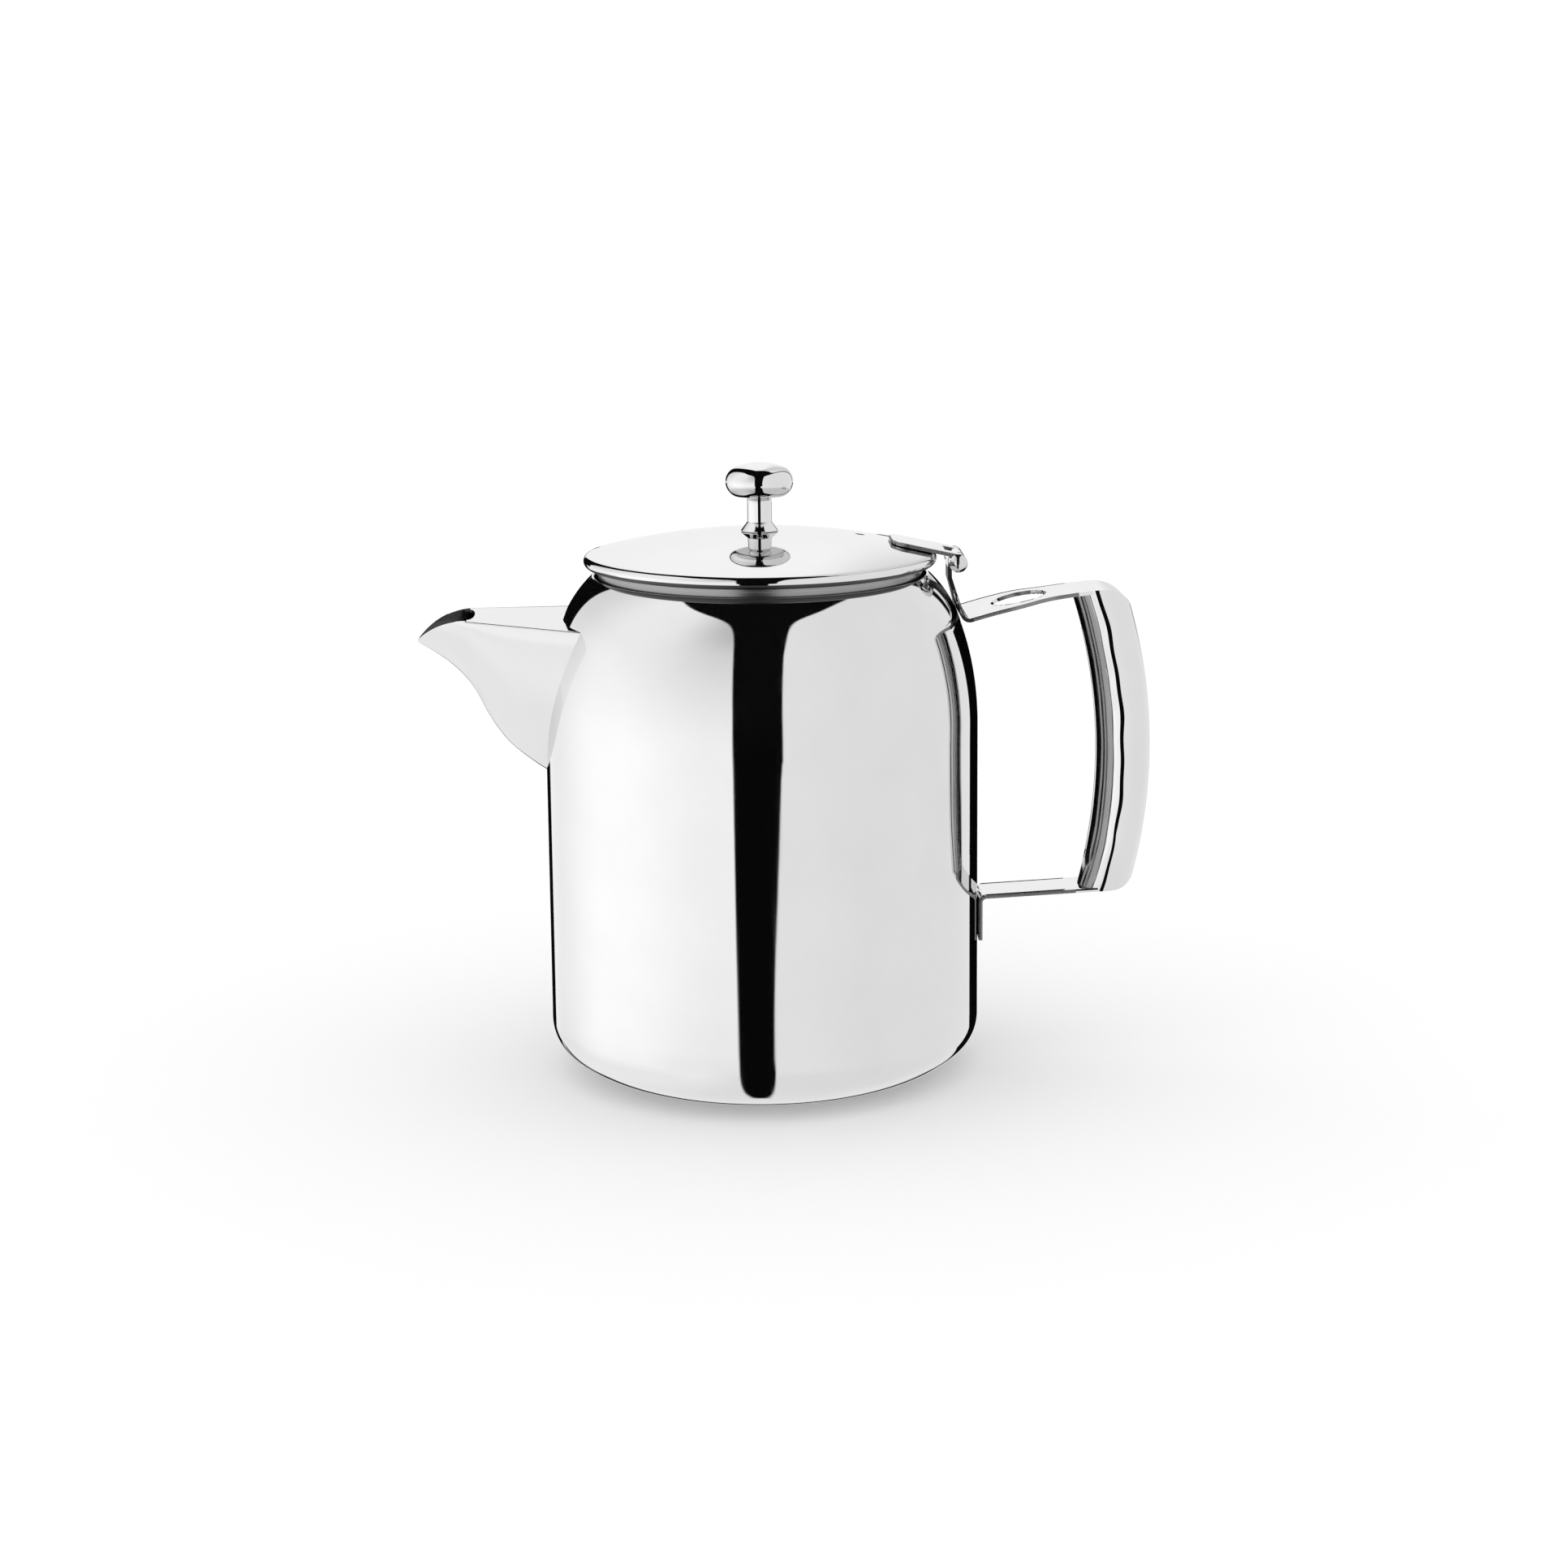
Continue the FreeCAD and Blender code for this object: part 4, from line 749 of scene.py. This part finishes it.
handle_polish = polished_finish(
    "handle_polish", grey(0.68), grey(0.74), smooth=0.03, dull=0.07, ripple=0.02
)
# The grip's side towards the body: less polished, and painted darker as painted shade between
# grip and body.
handle_inner_shaded = polished_finish(
    "handle_inner_shaded", (0.4, 0.4, 0.405), (0.5, 0.5, 0.505), smooth=0.08, dull=0.2, ripple=0.05
)
# Sheared edges: fine lines of the cut, painted dark grey as a painted dark reflection.
sheared_edge_dark_reflection = lined_finish(
    "sheared_edge_dark_reflection", grey(0.12), grey(0.36), lines=2600.0, smooth=0.25, dull=0.4, ripple=0.4
)
# Near-black steel: painted shade, on the leaf beside the body and inside the grip's seam.
painted_shade_steel = lined_finish(
    "painted_shade_steel", grey(0.03), grey(0.07), lines=1800.0, smooth=0.35, dull=0.5, ripple=0.3
)
# The leaf is dull and painted near black towards the body, as painted shade between leaf, body
# and lid;
# the arms have sheared edges up to the grip, painted dark as a painted reflection; the grip's
# seam is painted near black as painted shade inside it, and its side towards the body is less
# polished and painted darker as painted shade between grip and body.
LEAF_SHADE_BOTTOM, LEAF_SHADE_TOP = 122.0, 136.5
SHEARED_END = 84.0
for piece in (upper, lower):
    dress(piece, handle_polish, sheared_edge_dark_reflection, painted_shade_steel)
    for face in piece.data.polygons:
        x, z = face.center.x / MM, face.center.z / MM
        on_leaf = x < LEAF_OUT and LEAF_SHADE_BOTTOM < z < LEAF_SHADE_TOP
        if on_leaf and face.normal.x < 0.5 and face.normal.z < 0.5:
            face.material_index = 2
        elif abs(face.normal.y) > 0.8 and x < SHEARED_END:
            face.material_index = 1
dress(grip, handle_polish, handle_inner_shaded, painted_shade_steel)
for face in grip.data.polygons:
    x, y, z = face.center / MM
    beside_seam = abs(y) < SEAM_HALF + 0.02 and SEAM_BOTTOM - 1 < z < SEAM_TOP + 1
    if beside_seam and x - grip_front_at(z) > 0.2 and face.normal.x < 0.9:
        face.material_index = 2
    elif face.normal.x < -0.57:
        face.material_index = 1
join(upper, lower, grip)
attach(grip, "pot")
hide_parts("handle")


# Hinge pin: a piece of drawn steel wire through the knuckles of strap and handle. Its two
# ends are riveted to low domes against the strap.
PIN_HEAD, PIN_HEAD_HEIGHT = 2.45, 1.1
STRAP_HALF = 8.5
dome = (PIN_HEAD ** 2 + PIN_HEAD_HEIGHT ** 2) / (2 * PIN_HEAD_HEIGHT)
dome_angle = math.degrees(math.asin(PIN_HEAD / dome))
pin_end = STRAP_HALF + GAP
line = arc((0, -pin_end - PIN_HEAD_HEIGHT + dome), dome, -90, -90 + dome_angle, 10)
line += [(PIN_RADIUS, -pin_end), (PIN_RADIUS, pin_end)]
line += arc((0, pin_end + PIN_HEAD_HEIGHT - dome), dome, 90 - dome_angle, 90, 10)
pin = turned("hinge_pin_riveted", line, 64)
bpy.ops.object.mode_set(mode="EDIT")
bpy.ops.mesh.select_all(action="SELECT")
bpy.ops.transform.rotate(value=math.pi / 2, orient_axis="X", center_override=(0, 0, 0))
bpy.ops.transform.translate(value=(PIN_X * MM, 0, PIN_Z * MM))
bpy.ops.object.mode_set(mode="OBJECT")
dress(pin, polished_finish(
    "pin_polish", grey(0.6), grey(0.72), smooth=0.05, dull=0.14, ripple=0.05
))
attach(pin, "lid")
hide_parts("hinge_pin")


# Lid cover: a shallow dome pressed from stainless sheet and polished on top, its rounded
# edge turned in below to meet the plug ring. One small steam vent near the hinge.
DOME_ROUND, DOME_TOP = 185.0, 146.6
LID_RADIUS, LID_EDGE_ROUND = 47.0, 1.6
LID_RETURN, LID_SHADE_TOP = 137.2, 139.2
RING_RADIUS = 43.2
SCREW_HOLE = 2.15
VENT_CENTRE, VENT_RADIUS = (27, 5, 143), 1.3
dome_middle = DOME_TOP - DOME_ROUND
edge_x = LID_RADIUS - LID_EDGE_ROUND
edge_z = dome_middle + math.sqrt((DOME_ROUND - LID_EDGE_ROUND) ** 2 - edge_x ** 2)
edge_turn = math.degrees(math.atan2(edge_z - dome_middle, edge_x))
tail = Vector((RING_RADIUS + GAP, LID_RETURN))
to_edge = Vector((edge_x, edge_z)) - tail
tail_turn = math.atan2(-to_edge.y, -to_edge.x) + math.acos(LID_EDGE_ROUND / to_edge.length)


def cover_line(inset):
    """The lid's line from the screw hole over the edge to the turned-in tail."""
    hole_turn = math.degrees(math.acos(SCREW_HOLE / (DOME_ROUND - inset)))
    line = arc((0, dome_middle), DOME_ROUND - inset, hole_turn, edge_turn, 60)
    edge_round = LID_EDGE_ROUND - inset
    line += arc((edge_x, edge_z), edge_round, edge_turn, math.degrees(tail_turn), 20)[1:]
    touch = Vector(line[-1])
    way = Vector((math.sin(tail_turn), -math.cos(tail_turn)))
    line += run(touch, touch + way * ((tail.x - touch.x) / way.x), 8)[1:]
    return line


cover = turned(
    "lid_cover_polished", cover_line(0) + cover_line(SHEET)[::-1] + cover_line(0)[:1]
)
drill(cover, VENT_CENTRE, VENT_RADIUS, VENT_RADIUS, 32)
lid_polish = polished_finish(
    "lid_polish", grey(0.69), grey(0.74), smooth=0.02, dull=0.05, ripple=0.01
)
# The underside of the lid's turned-in edge is painted near black: painted shade under the edge,
# on rougher brushed steel.
lid_edge_painted_shade = lined_finish(
    "lid_edge_painted_shade", grey(0.04), grey(0.12), lines=1500.0, smooth=0.3, dull=0.45, ripple=0.3
)
dress(cover, lid_polish, inside_turned, lid_edge_painted_shade)
for face in cover.data.polygons:
    x, y, z = face.center / MM
    if face.normal.z < -0.3 and z < LID_SHADE_TOP:
        face.material_index = 2
    if face.normal.z < -0.8 and math.hypot(x, y) < RING_RADIUS - SHEET / 2:
        face.material_index = 1
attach(cover, "lid")
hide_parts("lid_cover")


# Plug ring: a band of stainless sheet, rolled round and welded under the cover. It centres
# the lid in the mouth and keeps the lines of its turning.
RING_BOTTOM, RING_TOP = 128.6, 140.3
ring_inside, ring_middle = RING_RADIUS - SHEET, RING_RADIUS - SHEET / 2
ring_edge = RING_BOTTOM + SHEET / 2
line = run((ring_middle, RING_BOTTOM), (RING_RADIUS, ring_edge), 2)
line += run((RING_RADIUS, ring_edge), (RING_RADIUS, RING_TOP), 8)[1:]
line += [(ring_inside, RING_TOP), (ring_inside, RING_BOTTOM), (ring_middle, RING_BOTTOM)]
ring = turned("lid_ring_rolled", line)
# The ring is painted dark grey: painted shade under the lid's edge, over its turned lines.
dress(ring, lined_finish(
    "ring_turned", grey(0.18), grey(0.44), lines=1800.0, smooth=0.2, dull=0.34, ripple=0.2
))
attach(ring, "lid")
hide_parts("lid_ring")


# Lid strap: a plate of strip steel with rounded corners, welded on the cover and rolled
# around the pin in two outer knuckles, with a notch between them for the handle's knuckle.
STRAP_SLOPE = math.radians(12.5)
STRAP_REACH, STRAP_CORNER = 18.3, 4.0
STRAP_CURL, STRAP_TIP_END = 290, 45.0
NOTCH_REACH, NOTCH_HALF = 3.8, 4.0
PLATE_ROWS, FORK_ROWS, CURL_ROWS = 14, 4, 44
half_columns = [0.0, 2.0, NOTCH_HALF, 4.5, 5.1, 6.2, 7.3, 8.1, STRAP_HALF]
strap_columns = [-y for y in half_columns[:0:-1]] + half_columns


def strap_point(row, column):
    """A point of the strap's lower face, from its free end to the end of the curl."""
    y = strap_columns[column]
    past = max(abs(y) - (STRAP_HALF - STRAP_CORNER), 0)
    tip = STRAP_CORNER - STRAP_REACH - math.sqrt(max(STRAP_CORNER ** 2 - past ** 2, 0))
    above = PIN_RADIUS
    if row <= PLATE_ROWS:
        along = tip + (-NOTCH_REACH - tip) * row / PLATE_ROWS
    elif row <= PLATE_ROWS + FORK_ROWS:
        along = -NOTCH_REACH * (1 - (row - PLATE_ROWS) / FORK_ROWS)
    else:
        curled = STRAP_CURL * (row - PLATE_ROWS - FORK_ROWS) / CURL_ROWS
        turn = math.radians(90 - curled)
        along, above = PIN_RADIUS * math.cos(turn), PIN_RADIUS * math.sin(turn)
    x = PIN_X + along * math.cos(STRAP_SLOPE) + above * math.sin(STRAP_SLOPE)
    z = PIN_Z - along * math.sin(STRAP_SLOPE) + above * math.cos(STRAP_SLOPE)
    return Vector((x, y, z))


def in_notch(point):
    """Whether a point lies beyond the plate and between the two knuckles."""
    along = (point.x / MM - PIN_X) * math.cos(STRAP_SLOPE)
    along -= (point.z / MM - PIN_Z) * math.sin(STRAP_SLOPE)
    return along > -NOTCH_REACH and abs(point.y) < NOTCH_HALF * MM


last_row = PLATE_ROWS + FORK_ROWS + CURL_ROWS
strap = grid("lid_strap_rolled", last_row, len(strap_columns) - 1, strap_point)
bpy.ops.object.mode_set(mode="EDIT")
mesh = bmesh.from_edit_mesh(strap.data)
gone = [face for face in mesh.faces if in_notch(face.calc_center_median())]
bmesh.ops.delete(mesh, geom=gone, context="FACES")
bmesh.update_edit_mesh(strap.data)
bpy.ops.object.mode_set(mode="OBJECT")
apply_modifier(
    strap, "metal", "SOLIDIFY", thickness=STRIP * MM, offset=1, use_even_offset=True
)
soften(strap)
strap_polish = polished_finish(
    "strap_polish", grey(0.66), grey(0.74), smooth=0.03, dull=0.08, ripple=0.03
)
dress(strap, strap_polish, sheared_edge_dark_reflection)
# The strap's edges and tip get the sheared edge, painted dark as a painted reflection.
for face in strap.data.polygons:
    at_tip = face.normal.x < -0.8 and face.center.x < STRAP_TIP_END * MM
    if abs(face.normal.y) > 0.8 or at_tip:
        face.material_index = 1
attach(strap, "lid")
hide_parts("lid_strap")


# Knob head: a mushroom with a flattened top, turned from steel bar and polished. It is
# pressed on the spigot of the stem.
KNOB_RADIUS, KNOB_HEIGHT = 9.04, 159.7
KNOB_SIDE, KNOB_TOP_ROUND, KNOB_UNDER = 4.2, 18.35, 156.06
side_x = KNOB_RADIUS - KNOB_SIDE
top_middle = KNOB_HEIGHT - math.sqrt((KNOB_TOP_ROUND - KNOB_SIDE) ** 2 - side_x ** 2)
under_turn = -math.asin((KNOB_HEIGHT - KNOB_UNDER) / KNOB_SIDE)
under_edge = side_x + KNOB_SIDE * math.cos(under_turn)
blend_turn = math.degrees(math.atan2(KNOB_HEIGHT - top_middle, side_x))
line = run((0, KNOB_UNDER), (under_edge, KNOB_UNDER), 8)
line += arc((side_x, KNOB_HEIGHT), KNOB_SIDE, math.degrees(under_turn), blend_turn, 36)[1:]
line += arc((0, top_middle), KNOB_TOP_ROUND, blend_turn, 90, 20)[1:]
head = turned("knob_head_turned", line, 128)
knob_polish = polished_finish(
    "knob_polish", grey(0.68), grey(0.74), smooth=0.02, dull=0.05, ripple=0.01
)
dress(head, knob_polish)
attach(head, "lid")
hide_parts("knob_head")


# Knob stem: turned from the same bar, with a narrow neck under the head and a cone foot
# that stands on the lid. A screw from below holds it.
FOOT_RADIUS, FOOT_TOP, FOOT_EDGE = 4.97, 149.1, 0.25
STEM_RADIUS, NECK_RADIUS, NECK_START = 3.27, 2.75, 154.8
BROKEN_EDGE = 0.1
HEAD_GAP = 0.02
foot = DOME_TOP + GAP
foot_edge = foot + FOOT_EDGE
stem_end = KNOB_UNDER - HEAD_GAP
line = [(0, foot), (FOOT_RADIUS - BROKEN_EDGE, foot)]
line += [(FOOT_RADIUS, foot + BROKEN_EDGE), (FOOT_RADIUS, foot_edge)]
cone_start = (FOOT_RADIUS - 0.08, foot_edge + BROKEN_EDGE)
line += run(cone_start, (STEM_RADIUS + BROKEN_EDGE, FOOT_TOP - BROKEN_EDGE), 8)
line += run((STEM_RADIUS, FOOT_TOP), (STEM_RADIUS, NECK_START), 8)
line += run((STEM_RADIUS - 0.06, NECK_START + 0.12), (NECK_RADIUS, stem_end), 4)
line += [(0, stem_end)]
stem = turned("knob_stem_turned", line, 96)
dress(stem, knob_polish)
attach(stem, "lid")
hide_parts("knob_stem")


# Washer and screw: plain turned steel, under the lid, where they hold the knob from below.
# They keep the shapes of the solids and only get a finish.
screw_steel = lined_finish(
    "screw_steel", grey(0.5), (0.66, 0.66, 0.655), lines=3000.0, smooth=0.2, dull=0.36, ripple=0.3
)
for name in ("knob_washer", "knob_screw"):
    dress(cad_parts[name], screw_steel)


# Stage: a pale floor, and a tent of white panels around the pot. The dark gaps between
# the panels, and the dark top, give the dark lines that polished steel shows.
FLOOR_SIZE = 8
DARK = 0.003
OPEN_WHITE = 1.04


def plain_paint(name, level):
    """A paint of one grey without gloss."""
    paint = bpy.data.materials.new(name)
    paint.use_nodes = True
    shader = paint.node_tree.nodes["Principled BSDF"]
    shader.inputs["Base Color"].default_value = (*grey(level), 1)
    shader.inputs["Specular IOR Level"].default_value = 0.0
    return paint


bpy.ops.object.select_all(action="DESELECT")
bpy.ops.mesh.primitive_plane_add(size=FLOOR_SIZE)
floor = bpy.context.object
floor.name = "floor"
floor_paint = plain_paint("floor_paint", 0.99)
floor_paint.node_tree.nodes["Principled BSDF"].inputs["Roughness"].default_value = 1.0
dress(floor, floor_paint)
floor.visible_glossy = False

world = bpy.data.worlds.new("tent")
bpy.context.scene.world = world
world.use_nodes = True
tree = world.node_tree


def calculate(operation, *values):
    """A maths node of the tent's light; its values are sockets or plain numbers."""
    node = tree.nodes.new("ShaderNodeMath")
    node.operation = operation
    for socket, value in zip(node.inputs, values):
        if isinstance(value, (int, float)):
            socket.default_value = value
        else:
            tree.links.new(value, socket)
    return node.outputs[0]


def blend(first, second, share):
    """From the first value to the second, by a share."""
    return calculate("MULTIPLY_ADD", calculate("SUBTRACT", second, first), share, first)


def ease(value, start, stop, low=0.0, high=1.0):
    """A smooth step from low to high between start and stop."""
    node = tree.nodes.new("ShaderNodeMapRange")
    node.interpolation_type = "SMOOTHSTEP"
    settings = {"From Min": start, "From Max": stop, "To Min": low, "To Max": high}
    for label, setting in settings.items():
        node.inputs[label].default_value = setting
    tree.links.new(value, node.inputs["Value"])
    return node.outputs["Result"]


def edge_light(degrees):
    """Light inside an edge and dark outside it, a little soft."""
    return ease(degrees, -0.6, 0.6)


direction = tree.nodes.new("ShaderNodeTexCoord")
axes = tree.nodes.new("ShaderNodeSeparateXYZ")
tree.links.new(direction.outputs["Generated"], axes.inputs["Vector"])
to_right = axes.outputs["X"]
ahead = calculate("MULTIPLY", axes.outputs["Y"], -1.0)
bearing = calculate("DEGREES", calculate("ARCTAN2", to_right, ahead))
turned_away = calculate("ABSOLUTE", bearing)
on_right = calculate("GREATER_THAN", bearing, 0.0)
rise = calculate("DEGREES", calculate("ARCSINE", axes.outputs["Z"]))
above = calculate("MAXIMUM", rise, 0.0)

# The slit the camera looks through, wider towards the top. Under the pot it narrows to a
# wedge that runs on a little past straight down.
SLIT_HALF, SLIT_SPREAD = 13.0, 0.0025
SLIT_LOW_SHIFT, SLIT_LOW_SPREAD = -3.2, -4.0
WEDGE_MIDDLE, WEDGE_LEAN = -0.033, -0.07
WEDGE_HALF, WEDGE_SPREAD = 0.07, 0.096
WEDGE_END, WEDGE_END_SLOPE, WEDGE_END_ROUND = 0.52, -0.25, 0.02
DEGREE = 57.3
low_turn = ease(rise, -10.0, -18.0)
slit_middle = ease(rise, 10.0, 60.0, -4.0, -1.5)
slit_middle = calculate("MULTIPLY_ADD", low_turn, SLIT_LOW_SHIFT, slit_middle)
slit_half = calculate("MULTIPLY_ADD", calculate("MULTIPLY", above, above), SLIT_SPREAD, SLIT_HALF)
slit_half = calculate("MULTIPLY_ADD", low_turn, SLIT_LOW_SPREAD, slit_half)
off_slit = calculate("ABSOLUTE", calculate("SUBTRACT", bearing, slit_middle))
slit_edge = calculate("SUBTRACT", off_slit, slit_half)
slit_edge = calculate("MULTIPLY", slit_edge, calculate("COSINE", calculate("RADIANS", rise)))
wedge_middle = calculate("MULTIPLY_ADD", ahead, WEDGE_LEAN, WEDGE_MIDDLE)
wedge_half = calculate("MULTIPLY_ADD", ahead, WEDGE_SPREAD, WEDGE_HALF)
off_wedge = calculate("ABSOLUTE", calculate("SUBTRACT", to_right, wedge_middle))
wedge_side = calculate("SUBTRACT", off_wedge, wedge_half)
wedge_end = calculate("MULTIPLY", calculate("ADD", ahead, WEDGE_END), WEDGE_END_SLOPE)
wedge_edge = calculate("SMOOTH_MAX", wedge_side, wedge_end, WEDGE_END_ROUND)
wedge_edge = calculate("MULTIPLY", wedge_edge, DEGREE)
under = ease(rise, -14.0, -20.0)
slit_edge = blend(slit_edge, wedge_edge, under)

# Two side panels with rounded tops, lower towards the back, round into the slit's edges.
PANEL_TOP, ROUNDNESS, CORNER_ROUND = 62.0, 2.5, 26.0
LEFT_TURN, LEFT_BACK, RIGHT_TURN, RIGHT_BACK = 88.0, 58.0, 62.0, 83.0
panel_turn = blend(LEFT_TURN, RIGHT_TURN, on_right)
panel_back = blend(LEFT_BACK, RIGHT_BACK, on_right)
past = calculate("DIVIDE", calculate("SUBTRACT", turned_away, panel_turn), panel_back)
past = calculate("POWER", calculate("MAXIMUM", past, 0.0), ROUNDNESS)
top_share = calculate("POWER", calculate("DIVIDE", above, PANEL_TOP), ROUNDNESS)
outline = calculate("ADD", past, top_share)
to_degrees = PANEL_TOP / ROUNDNESS
top_edge = calculate("MULTIPLY", calculate("SUBTRACT", 1.0, outline), to_degrees)
side_light = edge_light(calculate("SMOOTH_MIN", slit_edge, top_edge, CORNER_ROUND))

# The backdrop: a dark gap parts it from the left panel, a narrow one from the right. The
# floor in front of it is light, but for the dark far edge that outlines rounded undersides.
LEFT_GAP, RIGHT_GAP = 169.0, 1.15
BACKDROP_TOP, BACKDROP_SIDE = 67.0, 110.0
left_gap = calculate("SUBTRACT", turned_away, LEFT_GAP)
right_gap = calculate("MULTIPLY", calculate("SUBTRACT", outline, RIGHT_GAP), to_degrees)
gap_edge = blend(left_gap, right_gap, on_right)
gap_edge = calculate("MINIMUM", gap_edge, calculate("SUBTRACT", BACKDROP_TOP, rise))
gap_edge = calculate("MINIMUM", gap_edge, calculate("SUBTRACT", turned_away, BACKDROP_SIDE))
low_light = calculate("MULTIPLY", ease(rise, -3.0, -6.0), ease(turned_away, 100.0, 110.0))
lit = calculate("MAXIMUM", calculate("MAXIMUM", side_light, edge_light(gap_edge)), low_light)
lit = blend(lit, edge_light(wedge_edge), under)
far_edge = calculate("MULTIPLY", ease(ahead, -0.81, -0.86), ease(rise, -21.0, -25.0))
lit = blend(lit, 0.0, far_edge)

# The left panel is brightest in its middle; the right one stands further from its lamp.
LEFT_BRIGHT = 1.37
near_slit = calculate("MULTIPLY", ease(rise, 12.0, 50.0, 0.0, 0.32), ease(bearing, -65.0, -20.0))
left_panel = LEFT_BRIGHT
for fall in (
    ease(bearing, -85.0, -22.0, 0.0, 0.17),
    ease(turned_away, 95.0, 150.0, 0.0, 0.29),
    ease(rise, -10.0, 24.0, 0.0, 0.22),
    near_slit,
    ease(rise, -14.5, -18.5, 0.0, 0.1),
):
    left_panel = calculate("SUBTRACT", left_panel, fall)
right_panel = ease(bearing, 10.0, 60.0, 1.03, 0.99)
right_panel = calculate("SUBTRACT", right_panel, ease(turned_away, 140.0, 165.0, 0.0, 0.22))
backdrop = ease(rise, -12.0, 36.0, 0.93, 1.2)
on_left = ease(to_right, -0.7, -0.3, 1.0, 0.0)
lit_floor = ease(to_right, -0.6, 0.0, 1.12, 0.96)
lit_floor = calculate("MULTIPLY_ADD", ease(ahead, 0.2, 0.6, 0.0, 0.06), on_left, lit_floor)
panel = blend(left_panel, right_panel, on_right)
panel = blend(panel, backdrop, ease(turned_away, 166.0, 174.0))
panel = blend(panel, lit_floor, ease(rise, -16.0, -42.0))
light = calculate("MULTIPLY_ADD", lit, panel, DARK)

mirrored = tree.nodes.new("ShaderNodeBackground")
mirrored.inputs["Color"].default_value = (1, 1, 1, 1)
open_white = tree.nodes["Background"]
open_white.inputs["Color"].default_value = (1, 1, 1, 1)
open_white.inputs["Strength"].default_value = OPEN_WHITE
path_kind = tree.nodes.new("ShaderNodeLightPath")
choice = tree.nodes.new("ShaderNodeMixShader")
for source, target in (
    (light, mirrored.inputs["Strength"]),
    (path_kind.outputs["Is Glossy Ray"], choice.inputs["Fac"]),
    (open_white.outputs["Background"], choice.inputs[1]),
    (mirrored.outputs["Background"], choice.inputs[2]),
    (choice.outputs["Shader"], tree.nodes["World Output"].inputs["Surface"]),
):
    tree.links.new(source, target)

# Black cards behind the pot give its sides and the knob's their dark lines. Each is given
# by its lower and its upper edge: left end, right end, place across and height.
black_card = plain_paint("black_card", DARK)
for name, low_edge, high_edge in (
    ("card_left", (-122, -49, 150, -60), (-122, -49, 150, 140)),
    ("card_right_low", (60, 84, 20, -20), (60, 84, 20, 50.8)),
    ("card_right_ramp", (60, 77, 10, 53), (60, 84, 20, 55.4)),
    ("card_right_high", (60, 84, 20, 55.4), (60, 84, 20, 124)),
    ("card_right_knob", (43, 97, 150, 105), (43, 97, 150, 138)),
):
    def card_point(step, column):
        left, right, y, z = (low_edge, high_edge)[column]
        return Vector(((left, right)[step], y, z))

    card = grid(name, 1, 1, card_point)
    dress(card, black_card)
    card.visible_camera = card.visible_diffuse = card.visible_shadow = False


# Camera: a long lens in front of the pot and a little above it, slightly rolled, at the
# photograph's viewing angle.
AZIMUTH, ELEVATION, ROLL = map(math.radians, (-2.131, 11.916, -0.56))
LOOK_AT, DISTANCE = Vector((0.005807, 0, 0.077594)), 0.9
SENSOR, FOCAL_PIXELS, FRAME_PIXELS = 36, 4102.0, 1932
CLIP_NEAR, CLIP_FAR = 0.01, 20
camera_data = bpy.data.cameras.new("camera")
camera = bpy.data.objects.new("camera", camera_data)
bpy.context.scene.collection.objects.link(camera)
level_out = math.cos(ELEVATION)
back = Vector((
    math.sin(AZIMUTH) * level_out, -math.cos(AZIMUTH) * level_out, math.sin(ELEVATION)
))
right = Vector((math.cos(AZIMUTH), math.sin(AZIMUTH), 0))
up = back.cross(right)
rolled_right = right * math.cos(ROLL) + up * math.sin(ROLL)
rolled_up = up * math.cos(ROLL) - right * math.sin(ROLL)
turn = Matrix((rolled_right, rolled_up, back)).transposed().to_4x4()
camera.matrix_world = Matrix.Translation(LOOK_AT + back * DISTANCE) @ turn
camera_data.sensor_width = SENSOR
camera_data.lens = SENSOR * FOCAL_PIXELS / FRAME_PIXELS
camera_data.clip_start = CLIP_NEAR
camera_data.clip_end = CLIP_FAR
bpy.context.scene.camera = camera

bpy.context.scene.view_settings.view_transform = "Standard"
